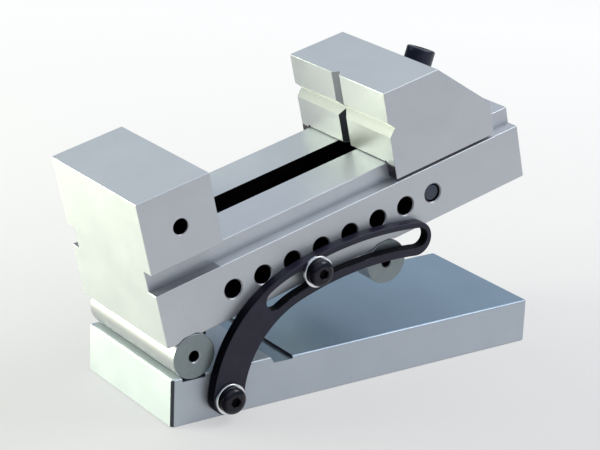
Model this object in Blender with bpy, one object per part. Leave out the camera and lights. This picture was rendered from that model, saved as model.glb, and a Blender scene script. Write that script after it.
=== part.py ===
"""Sine vise: a screwless toolmaker's vise that tilts on two ground rolls over a base plate.

World frame: origin at the centre of the base plate's underside, +X along the base away from
the hinge roll, +Y to the back, +Z up. Sizes are in metres and angles in radians.

Vise frame: the empty tilt_axis lies on the hinge roll's axis and is turned by the tilt angle.
Lengths along the vise are given from the body's end, heights from its underside.
"""

import math

import bmesh
import bpy
from mathutils import Vector

# Clearances and cutting
mesh_gap = 0.0003           # between pieces that touch on the real vise
thread_gap = 0.0003         # round a screw in its hole
overrun = 0.002             # how far a cutter runs past a face
closeness_share = 0.1       # of that gap, for telling which edges lie on a face
flat_angle = math.radians(1)
sharp_angle = math.radians(30)

# Sine geometry
roll_centres = 0.100        # centre distance of the two rolls
gauge_block = 0.024         # block stack under the sine roll, which sets the tilt
roll_diameter = 0.020
roll_drop = 0.0087          # roll axis below the vise body's underside
roll_inset = 0.0111         # hinge roll axis from the vise body's end

# Vise body
vise_width = 0.070
vise_height = 0.067         # top of both jaws above the underside
bed_height = 0.0325
ledge_height = 0.025        # top of the wide lower part
jaw_sole_height = 0.0344    # underside of the fixed jaw where the clamp groove runs below it
groove_depth = 0.006        # clamp groove along both sides
fixed_jaw_length = 0.035
slot_width = 0.014
slot_setback = 0.001        # slot end to the fixed jaw's face
slot_run_out = 0.0358       # last cross hole to the slot's far end
end_wall = 0.014            # solid end past the slot
edge_chamfer = 0.0004

# Cross holes and the pin
hole_count = 8
hole_pitch = 0.015
first_hole_setback = 0.0002  # first hole's centre past the fixed jaw's face
hole_height = 0.0125
hole_diameter = 0.0083
hole_chamfer = 0.0005
pin_diameter = 0.0076
pin_recess = 0.001          # each end of the pin below the side face
pin_chamfer = 0.0006
jaw_hole_diameter = 0.0068  # tapped hole in each side of the fixed jaw
jaw_hole_depth = 0.016
jaw_hole_chamfer = 0.0003

# Movable jaw
jaw_reach = 0.0172          # working face to the pin it pulls on
jaw_length = 0.0541
jaw_top_length = 0.0292
jaw_end_height = 0.0416     # foot of the slope above the vise's underside
skirt_lift = 0.0013         # skirt's lower edge above the ledge
vee_width = 0.0068          # horizontal groove for round work
vee_depth = 0.003
upright_vee_width = 0.0059
upright_vee_depth = 0.0027
relief_diameter = 0.0018    # relief run in the two inner corners

# Clamping screw, its washers and the pull hook
screw_angle = math.radians(59)   # screw axis above the bed
clamp_thread = 0.008
clamp_shank = 0.040
clamp_head_diameter = 0.013
clamp_head_height = 0.008
clamp_key = 0.006
clamp_key_depth = 0.004
clamp_head_round = 0.0009
head_stand = 0.0007         # head's underside above the slope, along the axis
screw_passage = 0.010       # clearance hole through the jaw
pocket_gap = 0.0005
washer_bore = 0.0088
washer_diameter = 0.015
washer_rim = 0.001
washer_dish = 0.0016        # depth of the spherical face
seat_bore = 0.0096
seat_diameter = 0.0165
seat_web = 0.0009
hook_side_gap = 0.0005      # hook to each wall of the slot
hook_bar_width = 0.013
hook_bar_top = 0.0185       # end of the threaded bar along the axis, from the pin
hook_release = 0.0026       # room above the pin for letting the hook go
hook_prong = 0.0036         # thickness under the pin
hook_prong_reach = 0.0055
hook_heel = 0.0065          # end of the bar below the pin, along the axis

# Rolls and their screws
roll_chamfer = 0.0005
roll_hole_diameter = 0.005
roll_hole_depth = 0.012
roll_hole_chamfer = 0.0004
roll_notch_foot = 0.0065    # half width of the notch over a roll, at the underside
roll_notch_crown = 0.003    # half width of the notch at its top
roll_screw_spread = 0.046   # between a roll's two screws
roll_screw_thread = 0.005
roll_screw_head_diameter = 0.0085
roll_screw_head_height = 0.005
roll_screw_key = 0.004
roll_screw_key_depth = 0.0025
roll_screw_edge = 0.0006
roll_screw_seat = 0.004     # head seat below the roll's axis
roll_screw_wall = 0.001     # metal left under the cross holes

# Base plate
base_length = 0.190
base_top = 0.020            # ground face that carries the gauge blocks
raised_lift = 0.0015        # raised end over the ground face
raised_length = 0.0486
ramp_run = 0.0017
trough_drop = 0.0014        # cross groove below the ground face
trough_end = 0.0600
hinge_inset = 0.0105        # hinge roll axis from the base's end
hinge_groove = 0.0112       # width of the hinge roll's groove
base_corner = 0.0012
base_rim_chamfer = 0.001
base_foot_chamfer = 0.0003

# Hinge link, which holds the hinge roll down in its groove, its axle and its screw
axle_diameter = 0.004
axle_length = 0.024
link_width = 0.008
link_eye_radius = 0.0052
link_bar = 0.0032           # thickness of the bar and the leg
link_leg_gap = 0.001        # leg to the hinge roll
link_foot = 0.0035          # thickness of the foot
link_foot_length = 0.014
link_slot_play = 0.0005     # eye to the sides of its slot in the roll
link_slot_turn = math.radians(22.5)  # middle of the vise's travel
link_screw_inset = 0.0048   # screw from the foot's end
link_screw_thread = 0.004
link_screw_length = 0.012
link_screw_head_diameter = 0.007
link_screw_head_height = 0.004
link_screw_key = 0.003
link_screw_key_depth = 0.002
link_screw_edge = 0.0005

# Slotted lock arm
arm_thickness = 0.005
arm_width = 0.0154
arm_slot_width = 0.0088
arm_first_radius = 0.0506  # lower bend of the centreline
arm_first_sweep = math.radians(65.6)
arm_second_radius = 0.1458
arm_second_sweep = math.radians(25.1)
arm_slot_lead = math.radians(13)  # slot begins this far before the second bend
arm_slot_reach = math.radians(0.3)  # slot's end past the centre of the arm's round end
arm_slot_shift = 0.00063    # slot's centreline outside the arm's own
arm_slot_play = 0.00075     # lock screw's rest place off the slot's centreline
arm_edge_chamfer = 0.0004
pivot_inset = 0.0247        # pivot screw from the base's end
pivot_height = 0.01015
lock_hole_shares = 2.5      # lock screw's place in hole pitches past the first hole
lock_height = 0.0062        # lock screw above the vise's underside

# Arm screws, washers and bush
arm_screw_thread = 0.006
arm_screw_neck = 0.0048     # waisted shank of the lock screw in the slot
arm_head_diameter = 0.0118
arm_head_height = 0.0043
arm_head_rim = 0.0012
arm_key = 0.004
arm_key_depth = 0.0024
arm_crown_share = 0.75      # radius of the head's flat crown, in key widths
arm_washer_diameter = 0.014
arm_washer_thickness = 0.0015
arm_washer_bore = 0.0066
lock_thread_length = 0.0115
pivot_thread_length = 0.0135
screw_hole_bottom = 0.0005  # hole runs this far past the screw's end
bush_wall = 0.0015

# Steps round circles and arcs
large_steps = 48
hole_steps = 28
small_steps = 24
bend_steps = 14
cap_steps = 12
dome_steps = 5

# Worked out from the sizes above
tilt = math.asin(gauge_block / roll_centres)
roll_radius = roll_diameter / 2
half_width = vise_width / 2
first_hole = fixed_jaw_length + first_hole_setback
last_hole = first_hole + (hole_count - 1) * hole_pitch
slot_start = fixed_jaw_length + slot_setback
slot_end = last_hole + slot_run_out
body_length = slot_end + end_wall
rail_half_width = half_width - groove_depth
notch_height = roll_radius + mesh_gap - roll_drop
jaw_face = last_hole - jaw_reach
face_centre = (jaw_sole_height + vise_height) / 2
lock_place = first_hole + lock_hole_shares * hole_pitch
hinge_x = hinge_inset - base_length / 2
hinge_z = base_top + roll_radius
link_screw_x = hinge_x + roll_radius + link_leg_gap + link_foot_length - link_screw_inset
screw_axis = Vector((math.cos(screw_angle), 0, math.sin(screw_angle)))
screw_side = Vector((math.sin(screw_angle), 0, -math.cos(screw_angle)))
arm_back = -half_width - mesh_gap
arm_front = arm_back - arm_thickness
arm_washer_front = arm_front - mesh_gap - arm_washer_thickness
arm_head_seat = arm_washer_front - mesh_gap


def along(distance):
    """X in the vise frame of a place given from the body's end."""
    return distance - roll_inset


def up(height):
    """Z in the vise frame of a height given from the body's underside."""
    return height + roll_drop


def clear_scene():
    for obj in list(bpy.data.objects):
        bpy.data.objects.remove(obj, do_unlink=True)


def make_material(name, colour, roughness, metallic=1.0):
    material = bpy.data.materials.new(name)
    material.use_nodes = True
    shader = material.node_tree.nodes["Principled BSDF"]
    shader.inputs["Base Color"].default_value = (*colour, 1)
    shader.inputs["Roughness"].default_value = roughness
    shader.inputs["Metallic"].default_value = metallic
    material.diffuse_color = (*colour, 1)
    return material


def add_empty(name, location, turn=0.0, parent=None):
    empty = bpy.data.objects.new(name, None)
    bpy.context.scene.collection.objects.link(empty)
    empty.parent = parent
    empty.location = location
    empty.rotation_euler.y = turn
    empty.empty_display_size = roll_radius
    return empty


def add_object(name, shape, parent=None, location=(0, 0, 0), turn=(0, 0, 0)):
    """Closes a bmesh into an object of that name."""
    bmesh.ops.recalc_face_normals(shape, faces=shape.faces)
    mesh = bpy.data.meshes.new(name)
    shape.to_mesh(mesh)
    shape.free()
    obj = bpy.data.objects.new(name, mesh)
    bpy.context.scene.collection.objects.link(obj)
    obj.parent = parent
    obj.location = location
    obj.rotation_euler = turn
    return obj


def finish(obj, material):
    """Gives a piece its material and smooth shading between its sharp edges."""
    obj.data.materials.clear()
    obj.data.materials.append(material)
    obj.data.shade_smooth()
    obj.data.set_sharp_from_angle(angle=sharp_angle)
    return obj


def plate(outline, low, high):
    """A solid of an outline in X and Z, from low to high along Y."""
    shape = bmesh.new()
    front = [shape.verts.new((x, low, z)) for x, z in outline]
    back = [shape.verts.new((x, high, z)) for x, z in outline]
    shape.faces.new(front)
    shape.faces.new(reversed(back))
    join_rings(shape, front, back)
    return shape


def join_rings(shape, upper, lower):
    count = len(upper)
    for i in range(count):
        j = (i + 1) % count
        shape.faces.new((upper[i], upper[j], lower[j], lower[i]))


def box(low, high):
    (x0, y0, z0), (x1, y1, z1) = low, high
    return plate([(x0, z0), (x1, z0), (x1, z1), (x0, z1)], y0, y1)


def turned(profile, steps, hollow=False):
    """A turned solid round Z from (radius, height) points, top to bottom, or a closed ring."""
    shape = bmesh.new()
    angles = [2 * math.pi * i / steps for i in range(steps)]
    rings = []
    for radius, height in profile:
        rings.append([
            shape.verts.new((radius * math.cos(a), radius * math.sin(a), height))
            for a in angles
        ])
    for upper, lower in zip(rings, rings[1:]):
        join_rings(shape, upper, lower)
    if hollow:
        join_rings(shape, rings[-1], rings[0])
    else:
        shape.faces.new(rings[0])
        shape.faces.new(reversed(rings[-1]))
    return shape


def hexagon(flats, top, bottom):
    """A six-sided prism round Z."""
    radius = flats / math.sqrt(3)
    return turned([(radius, top), (radius, bottom)], 6)


def arc(centre, radius, start, end, steps):
    points = []
    for i in range(steps + 1):
        angle = start + (end - start) * i / steps
        points.append((
            centre[0] + radius * math.cos(angle),
            centre[1] + radius * math.sin(angle),
        ))
    return points


def apply_modifiers(obj):
    bpy.context.view_layer.update()
    graph = bpy.context.evaluated_depsgraph_get()
    made = bpy.data.meshes.new_from_object(obj.evaluated_get(graph))
    obj.modifiers.clear()
    old = obj.data
    obj.data = made
    bpy.data.meshes.remove(old)
    made.name = obj.name


def combine(target, tool, operation):
    modifier = target.modifiers.new(operation.lower(), "BOOLEAN")
    modifier.operation = operation
    modifier.solver = "EXACT"
    modifier.object = tool
    apply_modifiers(target)
    bpy.data.objects.remove(tool, do_unlink=True)


def cut(target, shape, location=(0, 0, 0), turn=(0, 0, 0), parent=None):
    """Cuts a shape out of a piece. The shape is placed like the piece itself."""
    tool = add_object(target.name + "_cutter", shape, parent or target.parent, location, turn)
    combine(target, tool, "DIFFERENCE")


def join(target, shape, location=(0, 0, 0), turn=(0, 0, 0)):
    tool = add_object(target.name + "_join", shape, target.parent, location, turn)
    combine(target, tool, "UNION")


def chamfer(obj, width, chosen=None):
    """Chamfers the sharp outer edges that chosen picks."""
    shape = bmesh.new()
    shape.from_mesh(obj.data)
    bmesh.ops.dissolve_limit(
        shape, angle_limit=flat_angle, verts=shape.verts, edges=shape.edges
    )
    edges = []
    for edge in shape.edges:
        if not (edge.is_manifold and edge.is_convex):
            continue
        if edge.calc_face_angle() > sharp_angle and (chosen is None or chosen(edge)):
            edges.append(edge)
    bmesh.ops.bevel(
        shape, geom=edges, offset=width, offset_type="OFFSET", segments=1,
        profile=0.5, affect="EDGES",
    )
    shape.to_mesh(obj.data)
    shape.free()


def hole_profile(diameter, chamfer_size, top, bottom):
    """A drill shape from above a face at height zero, with its countersink, down to bottom."""
    radius = diameter / 2
    wide = radius + chamfer_size
    return [
        (wide + top, top),
        (wide, 0),
        (radius, -chamfer_size),
        (radius, bottom),
    ]


def socket_screw(name, head, head_height, thread, length, key, key_depth, edge, parent,
                 location, turn):
    """A socket head screw with its head's underside at the origin and its head along +Z."""
    head_radius = head / 2
    profile = [
        (head_radius - edge, head_height),
        (head_radius, head_height - edge),
        (head_radius, 0),
        (thread / 2, 0),
        (thread / 2, edge - length),
        (thread / 2 - edge, -length),
    ]
    screw = add_object(name, turned(profile, small_steps), parent, location, turn)
    cut(screw, hexagon(key, head_height + overrun, head_height - key_depth), location, turn)
    return screw


def dome_screw(name, stem, parent, location):
    """A domed socket screw along Y with its head to the front, on a stem profile."""
    radius = arm_head_diameter / 2
    rise = arm_head_height - arm_head_rim
    crown = arm_key * arm_crown_share
    dome = []
    for i in range(dome_steps + 1):
        angle = math.pi / 2 * i / dome_steps
        dome.append((
            crown + (radius - crown) * math.sin(angle),
            arm_head_rim + rise * math.cos(angle),
        ))
    profile = dome + [(radius, 0)] + stem
    turn = (math.pi / 2, 0, 0)
    screw = add_object(name, turned(profile, small_steps), parent, location, turn)
    key = hexagon(arm_key, arm_head_height + overrun, arm_head_height - arm_key_depth)
    cut(screw, key, location, turn)
    return screw


def make_base_plate(material):
    end = -base_length / 2
    raised = base_top + raised_lift
    trough = base_top - trough_drop
    groove_floor = base_top - mesh_gap
    outline = [
        (end, 0),
        (-end, 0),
        (-end, base_top),
        (end + trough_end, base_top),
        (end + trough_end, trough),
        (end + raised_length + ramp_run, trough),
        (end + raised_length, raised),
        (hinge_x + hinge_groove / 2, raised),
        (hinge_x + hinge_groove / 2, groove_floor),
        (hinge_x - hinge_groove / 2, groove_floor),
        (hinge_x - hinge_groove / 2, raised),
        (end, raised),
    ]
    base = add_object("base_plate", plate(outline, -half_width, half_width))
    close = mesh_gap * closeness_share

    def at_corner(edge):
        a, b = (v.co for v in edge.verts)
        return abs(abs((a.x + b.x) / 2) + end) < close and abs(abs(a.y) - half_width) < close \
            and abs(a.y - b.y) < close and abs(a.x - b.x) < close

    def on_rim(edge):
        a, b = (v.co for v in edge.verts)
        middle = (a + b) / 2
        level = min(a.z, b.z) > base_top - close
        return level and (
            abs(middle.x) > -end - base_corner or abs(middle.y) > half_width - base_corner
        )

    def at_foot(edge):
        return max(v.co.z for v in edge.verts) < close

    chamfer(base, base_corner, at_corner)
    chamfer(base, base_rim_chamfer, on_rim)
    chamfer(base, base_foot_chamfer, at_foot)

    link_hole = hole_profile(
        link_screw_thread + 2 * thread_gap, mesh_gap, overrun,
        link_foot - link_screw_length - screw_hole_bottom,
    )
    cut(base, turned(link_hole, small_steps), (link_screw_x, 0, raised))
    pivot_hole = hole_profile(
        arm_screw_thread + 2 * thread_gap, mesh_gap, overrun,
        -pivot_thread_length - screw_hole_bottom,
    )
    cut(base, turned(pivot_hole, small_steps), pivot_point(-half_width), (math.pi / 2, 0, 0))
    return finish(base, material)


def pivot_point(y):
    return (pivot_inset - base_length / 2, y, pivot_height)


def make_hinge_link(material, screw_material):
    """The link whose eye holds the hinge roll's axle, screwed down on the raised end."""
    bar = link_bar / 2
    leg = roll_radius + link_leg_gap
    sole = base_top + raised_lift + mesh_gap - hinge_z
    opening = math.asin(bar / link_eye_radius)
    outline = arc((0, 0), link_eye_radius, opening, 2 * math.pi - opening, cap_steps * 2)
    outline += [
        (leg, -bar),
        (leg, sole),
        (leg + link_foot_length, sole),
        (leg + link_foot_length, sole + link_foot),
        (leg + link_bar, sole + link_foot),
        (leg + link_bar, bar),
    ]
    place = (hinge_x, 0, hinge_z)
    link = add_object("hinge_link", plate(outline, -link_width / 2, link_width / 2), None, place)
    bore, reach = axle_diameter / 2 + mesh_gap, link_width / 2 + overrun
    cut(link, turned([(bore, reach), (bore, -reach)], small_steps), place, (math.pi / 2, 0, 0))
    passage = link_screw_thread / 2 + thread_gap
    top = hinge_z + sole + link_foot
    hole = [(passage, overrun), (passage, -link_foot - overrun)]
    cut(link, turned(hole, small_steps), (link_screw_x, 0, top))
    finish(link, material)
    screw = socket_screw(
        "hinge_link_screw", link_screw_head_diameter, link_screw_head_height,
        link_screw_thread, link_screw_length, link_screw_key, link_screw_key_depth,
        link_screw_edge, None, (link_screw_x, 0, top + mesh_gap), (0, 0, 0),
    )
    finish(screw, screw_material)


def make_hinge_axle(vise, material):
    radius, half = axle_diameter / 2, axle_length / 2
    profile = [
        (radius - roll_hole_chamfer, half),
        (radius, half - roll_hole_chamfer),
        (radius, roll_hole_chamfer - half),
        (radius - roll_hole_chamfer, -half),
    ]
    axle = add_object("hinge_axle", turned(profile, small_steps), vise, (0, 0, 0),
                      (math.pi / 2, 0, 0))
    finish(axle, material)


def make_vise_body(vise, material):
    outline = [
        (along(0), up(0)),
        (along(body_length), up(0)),
        (along(body_length), up(bed_height)),
        (along(fixed_jaw_length), up(bed_height)),
        (along(fixed_jaw_length), up(vise_height)),
        (along(0), up(vise_height)),
    ]
    body = add_object("vise_body", plate(outline, -half_width, half_width), vise)
    for side in (-1, 1):
        reach = sorted((side * rail_half_width, side * (half_width + overrun)))
        cut(body, box(
            (along(-overrun), reach[0], up(ledge_height)),
            (along(body_length + overrun), reach[1], up(jaw_sole_height)),
        ))
    chamfer(body, edge_chamfer)
    cut_bed_slot(body)
    for centre in (0, roll_centres):
        cut_roll_notch(body, centre)
    for i in range(hole_count):
        cut_cross_hole(body, first_hole + i * hole_pitch)
    for side in (-1, 1):
        tapped = hole_profile(jaw_hole_diameter, jaw_hole_chamfer, overrun, -jaw_hole_depth)
        cut(body, turned(tapped, hole_steps), (along(fixed_jaw_length / 2), side * half_width,
                                               up(face_centre)), (-side * math.pi / 2, 0, 0))
    lock_hole = hole_profile(
        arm_screw_thread + 2 * thread_gap, mesh_gap, overrun,
        -lock_thread_length - screw_hole_bottom,
    )
    cut(body, turned(lock_hole, small_steps), lock_point(-half_width), (math.pi / 2, 0, 0))
    return finish(body, material)


def lock_point(y):
    return (along(lock_place), y, up(lock_height))


def cut_bed_slot(body):
    """The slot that the pull hook runs in, open at the bed and at the underside."""
    radius = slot_width / 2
    shape = bmesh.new()
    plan = arc((along(slot_end) - radius, 0), radius, -math.pi / 2, math.pi / 2, cap_steps)
    plan += arc((along(slot_start) + radius, 0), radius, math.pi / 2, 3 * math.pi / 2, cap_steps)
    top = [shape.verts.new((x, y, up(bed_height + overrun))) for x, y in plan]
    bottom = [shape.verts.new((x, y, up(-overrun))) for x, y in plan]
    shape.faces.new(top)
    shape.faces.new(reversed(bottom))
    join_rings(shape, top, bottom)
    cut(body, shape)


def cut_roll_notch(body, centre):
    slope = (roll_notch_foot - roll_notch_crown) / notch_height
    foot = roll_notch_foot + slope * overrun
    outline = [
        (centre - foot, up(-overrun)),
        (centre + foot, up(-overrun)),
        (centre + roll_notch_crown, up(notch_height)),
        (centre - roll_notch_crown, up(notch_height)),
    ]
    cut(body, plate(outline, -half_width - overrun, half_width + overrun))
    tapped = roll_screw_thread / 2 + thread_gap
    drill = [(tapped, roll_screw_tip() + screw_hole_bottom), (tapped, up(-overrun))]
    for side in (-1, 1):
        cut(body, turned(drill, small_steps), (centre, side * roll_screw_spread / 2, 0))


def roll_screw_tip():
    """Height of a roll screw's end in the vise frame, clear of the cross holes."""
    return up(hole_height - hole_diameter / 2 - roll_screw_wall) - screw_hole_bottom


def cut_cross_hole(body, place):
    radius = hole_diameter / 2
    wide = radius + hole_chamfer
    profile = [
        (wide + overrun, half_width + overrun),
        (wide, half_width),
        (radius, half_width - hole_chamfer),
        (radius, hole_chamfer - half_width),
        (wide, -half_width),
        (wide + overrun, -half_width - overrun),
    ]
    cut(body, turned(profile, hole_steps), (along(place), 0, up(hole_height)),
        (math.pi / 2, 0, 0))


def make_roll(name, vise, centre, material):
    half = half_width
    radius = roll_radius
    profile = [
        (radius - roll_chamfer, half),
        (radius, half - roll_chamfer),
        (radius, roll_chamfer - half),
        (radius - roll_chamfer, -half),
    ]
    place = (centre, 0, 0)
    lying = (math.pi / 2, 0, 0)
    roll = add_object(name, turned(profile, large_steps), vise, place, lying)
    end_hole = hole_profile(roll_hole_diameter, roll_hole_chamfer, overrun, -roll_hole_depth)
    seat = roll_screw_head_diameter / 2 + thread_gap
    passage = roll_screw_thread / 2 + thread_gap
    screw_hole = [
        (passage, radius + overrun),
        (passage, -roll_screw_seat),
        (seat, -roll_screw_seat),
        (seat, -radius - overrun),
    ]
    for side in (-1, 1):
        cut(roll, turned(end_hole, small_steps), (centre, side * half, 0),
            (-side * math.pi / 2, 0, 0))
        cut(roll, turned(screw_hole, small_steps), (centre, side * roll_screw_spread / 2, 0))
    return finish(roll, material)


def cut_link_slot(roll):
    """The hinge roll's bore for the axle, and its slot for the link's eye."""
    bore, reach = axle_diameter / 2 + mesh_gap, half_width - roll_hole_depth / 2
    cut(roll, turned([(bore, reach), (bore, -reach)], small_steps), (0, 0, 0), (math.pi / 2, 0, 0))
    side = link_eye_radius + link_slot_play
    slot = arc((0, 0), side, math.pi / 2, 3 * math.pi / 2, cap_steps)
    slot += [(roll_radius + overrun, -side), (roll_radius + overrun, side)]
    wide = link_width / 2 + mesh_gap
    cut(roll, plate(slot, -wide, wide), (0, 0, 0), (0, link_slot_turn, 0))


def make_roll_screws(prefix, vise, centre, material):
    seat = -roll_screw_seat - mesh_gap
    length = roll_screw_tip() - seat
    for end, side in (("front", -1), ("back", 1)):
        screw = socket_screw(
            prefix + "_screw_" + end, roll_screw_head_diameter, roll_screw_head_height,
            roll_screw_thread, length, roll_screw_key, roll_screw_key_depth, roll_screw_edge,
            vise, (centre, side * roll_screw_spread / 2, seat), (math.pi, 0, 0),
        )
        finish(screw, material)


def slope_height_on_axis():
    """Distance from the pin, along the screw axis, to the jaw's slope."""
    foot = Vector((jaw_face + jaw_length - last_hole, 0, jaw_end_height - hole_height))
    crown = Vector((jaw_face + jaw_top_length - last_hole, 0, vise_height - hole_height))
    run = foot - crown
    normal = Vector((-run.z, 0, run.x))
    return crown.dot(normal) / screw_axis.dot(normal)


def make_movable_jaw(vise, pin_place, material):
    far = jaw_face + jaw_length
    skirt = ledge_height + skirt_lift
    outline = [
        (along(jaw_face), up(skirt)),
        (along(far), up(skirt)),
        (along(far), up(jaw_end_height)),
        (along(jaw_face + jaw_top_length), up(vise_height)),
        (along(jaw_face), up(vise_height)),
    ]
    jaw = add_object("movable_jaw", plate(outline, -half_width, half_width), vise)
    channel = rail_half_width + mesh_gap
    sole = bed_height + mesh_gap
    cut(jaw, box(
        (along(jaw_face - overrun), -channel, up(skirt - overrun)),
        (along(far + overrun), channel, up(sole)),
    ))
    chamfer(jaw, edge_chamfer)
    face = along(jaw_face)
    rise = vee_width / 2 * (1 + overrun / vee_depth)
    level_vee = [
        (face - overrun, up(face_centre) - rise),
        (face + vee_depth, up(face_centre)),
        (face - overrun, up(face_centre) + rise),
    ]
    cut(jaw, plate(level_vee, -half_width - overrun, half_width + overrun))
    cut_upright_vee(jaw, face, sole)
    relief = relief_diameter / 2
    for side in (-1, 1):
        run = turned([(relief, jaw_length + overrun), (relief, -overrun)], dome_steps * 2)
        cut(jaw, run, (face, side * (channel - relief / 2), up(sole)), (0, math.pi / 2, 0))
    cut_screw_passage(jaw, pin_place)
    return finish(jaw, material)


def cut_upright_vee(jaw, face, sole):
    spread = upright_vee_width / 2 * (1 + overrun / upright_vee_depth)
    plan = [
        (face - overrun, spread),
        (face + upright_vee_depth, 0),
        (face - overrun, -spread),
    ]
    shape = bmesh.new()
    top = [shape.verts.new((x, y, up(vise_height + overrun))) for x, y in plan]
    bottom = [shape.verts.new((x, y, up(sole - overrun))) for x, y in plan]
    shape.faces.new(top)
    shape.faces.new(reversed(bottom))
    join_rings(shape, top, bottom)
    cut(jaw, shape)


def screw_stack():
    """Heights on the screw axis, from the pin: head seat, washer top, seat ring top, pocket."""
    head = slope_height_on_axis() + head_stand
    washer = head - mesh_gap
    ring = washer - washer_rim - mesh_gap
    pocket = ring - washer_dish - seat_web - mesh_gap
    return head, washer, ring, pocket


def screw_turn():
    return (0, math.pi / 2 - screw_angle, 0)


def cut_screw_passage(jaw, pin_place):
    head, _, _, pocket = screw_stack()
    wide = seat_diameter / 2 + pocket_gap
    hole = screw_passage / 2
    profile = [
        (wide, head + clamp_head_height),
        (wide, pocket),
        (hole, pocket),
        (hole, hook_bar_top),
    ]
    cut(jaw, turned(profile, hole_steps), pin_place, screw_turn())


def make_clamp_screw(vise, pin_place, material):
    head, _, _, _ = screw_stack()
    place = Vector(pin_place) + screw_axis * head
    screw = socket_screw(
        "clamp_screw", clamp_head_diameter, clamp_head_height, clamp_thread, clamp_shank,
        clamp_key, clamp_key_depth, clamp_head_round, vise, place, screw_turn(),
    )
    finish(screw, material)


def make_spherical_washers(vise, pin_place, material):
    _, top, ring, pocket = screw_stack()
    bore, rim = washer_bore / 2, washer_diameter / 2
    cone = [(bore, top), (rim, top), (rim, top - washer_rim), (bore, top - washer_rim - washer_dish)]
    washer = add_object("spherical_washer", turned(cone, hole_steps, True), vise, pin_place,
                        screw_turn())
    finish(washer, material)
    inner, outer = seat_bore / 2, seat_diameter / 2
    dish = ring - washer_dish * (rim - inner) / (rim - bore)
    floor = pocket + mesh_gap
    cup = [(inner, dish), (rim, ring), (outer, ring), (outer, floor), (inner, floor)]
    seat = add_object("spherical_seat", turned(cup, hole_steps, True), vise, pin_place,
                      screw_turn())
    finish(seat, material)


def make_pull_hook(vise, pin_place, material):
    """The hook that the clamping screw pulls up against the cross pin."""
    bearing = pin_diameter / 2 + mesh_gap
    roof = bearing + hook_release * math.sin(screw_angle)
    half = hook_bar_width / 2

    def bar(distance, offset):
        point = screw_axis * distance + screw_side * offset
        return (point.x, point.z)

    roof_corner = (roof + half * math.cos(screw_angle)) / math.sin(screw_angle)
    outline = [bar(hook_bar_top, -half), bar(hook_bar_top, half), bar(roof_corner, half)]
    outline += [(-bearing, roof)]
    outline += arc((0, 0), bearing, math.pi, 3 * math.pi / 2, cap_steps)
    outline += [
        (hook_prong_reach, -bearing),
        (hook_prong_reach, -bearing - hook_prong),
        (-bearing, -bearing - hook_prong),
        bar(-hook_heel, -half),
    ]
    thickness = slot_width / 2 - hook_side_gap
    hook = add_object("pull_hook", plate(outline, -thickness, thickness), vise, pin_place)
    bore = clamp_thread / 2 + thread_gap
    tap = turned([(bore, hook_bar_top + overrun), (bore, 0)], small_steps)
    cut(hook, tap, pin_place, screw_turn())
    finish(hook, material)


def make_cross_pin(vise, pin_place, material):
    radius = pin_diameter / 2
    half = half_width - pin_recess
    profile = [
        (radius - pin_chamfer, half),
        (radius, half - pin_chamfer),
        (radius, pin_chamfer - half),
        (radius - pin_chamfer, -half),
    ]
    pin = add_object("cross_pin", turned(profile, hole_steps), vise, pin_place,
                     (math.pi / 2, 0, 0))
    finish(pin, material)


def arm_point(swing, offset):
    """A point of the arm beside its centreline, where its heading has swung by that angle."""
    outward = Vector((-math.cos(swing), 0, math.sin(swing)))
    centre = Vector((arm_first_radius, 0, 0))
    if swing <= arm_first_sweep:
        return centre + outward * (arm_first_radius + offset)
    return arm_second_centre() + outward * (arm_second_radius + offset)


def arm_second_centre():
    meeting = Vector((-math.cos(arm_first_sweep), 0, math.sin(arm_first_sweep)))
    return Vector((arm_first_radius, 0, 0)) + meeting * (arm_first_radius - arm_second_radius)


def arm_band(start, half, past=0, shift=0):
    """Outline of a band along the arm's centreline from that swing to its end, with round ends."""
    end = arm_first_sweep + arm_second_sweep + past
    swings = [start + (arm_first_sweep - start) * i / bend_steps for i in range(bend_steps)]
    second = end - arm_first_sweep
    swings += [arm_first_sweep + second * i / bend_steps for i in range(bend_steps + 1)]
    outer = [arm_point(swing, shift + half) for swing in swings]
    inner = [arm_point(swing, shift - half) for swing in reversed(swings)]
    points = outer + arm_cap(end, half, shift) + inner + arm_cap(start, -half, shift)
    return [(point.x, point.z) for point in points]


def arm_cap(swing, half, shift):
    outward = Vector((-math.cos(swing), 0, math.sin(swing)))
    forward = Vector((math.sin(swing), 0, math.cos(swing)))
    centre = arm_point(swing, shift)
    points = []
    for i in range(1, cap_steps):
        angle = math.pi * i / cap_steps
        points.append(centre + (outward * math.cos(angle) + forward * math.sin(angle)) * half)
    return points


def arm_turn(vise):
    """How far the arm leans back so that its slot takes the lock screw."""
    bpy.context.view_layer.update()
    screw = vise.matrix_world @ Vector(lock_point(0)) - Vector(pivot_point(0))
    centre = arm_second_centre()
    ring = arm_second_radius + arm_slot_shift + arm_slot_play
    apart = math.hypot(screw.x, screw.z)
    reach = centre.length
    cosine = (apart ** 2 + reach ** 2 - ring ** 2) / (2 * apart * reach)
    slot_direction = math.atan2(centre.z, centre.x) + math.acos(cosine)
    return math.atan2(screw.z, screw.x) - slot_direction


def make_lock_arm(vise, material):
    place = pivot_point(0)
    turn = (0, -arm_turn(vise), 0)
    arm = add_object("lock_arm", plate(arm_band(0, arm_width / 2), arm_front, arm_back), None,
                     place, turn)
    slot = arm_band(arm_first_sweep - arm_slot_lead, arm_slot_width / 2, arm_slot_reach,
                    arm_slot_shift)
    cut(arm, plate(slot, arm_front - overrun, arm_back + overrun), place, turn)
    bore = bush_bore() + bush_wall + mesh_gap
    cut(arm, turned([(bore, arm_thickness + overrun), (bore, -overrun)], small_steps),
        pivot_point(arm_back), (math.pi / 2, 0, 0))

    def on_faces(edge):
        a, b = (v.co for v in edge.verts)
        ring_distance = math.hypot((a.x + b.x) / 2, (a.z + b.z) / 2)
        return abs(a.y - b.y) < mesh_gap * closeness_share and ring_distance > bore + mesh_gap

    chamfer(arm, arm_edge_chamfer, on_faces)
    finish(arm, material)


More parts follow.
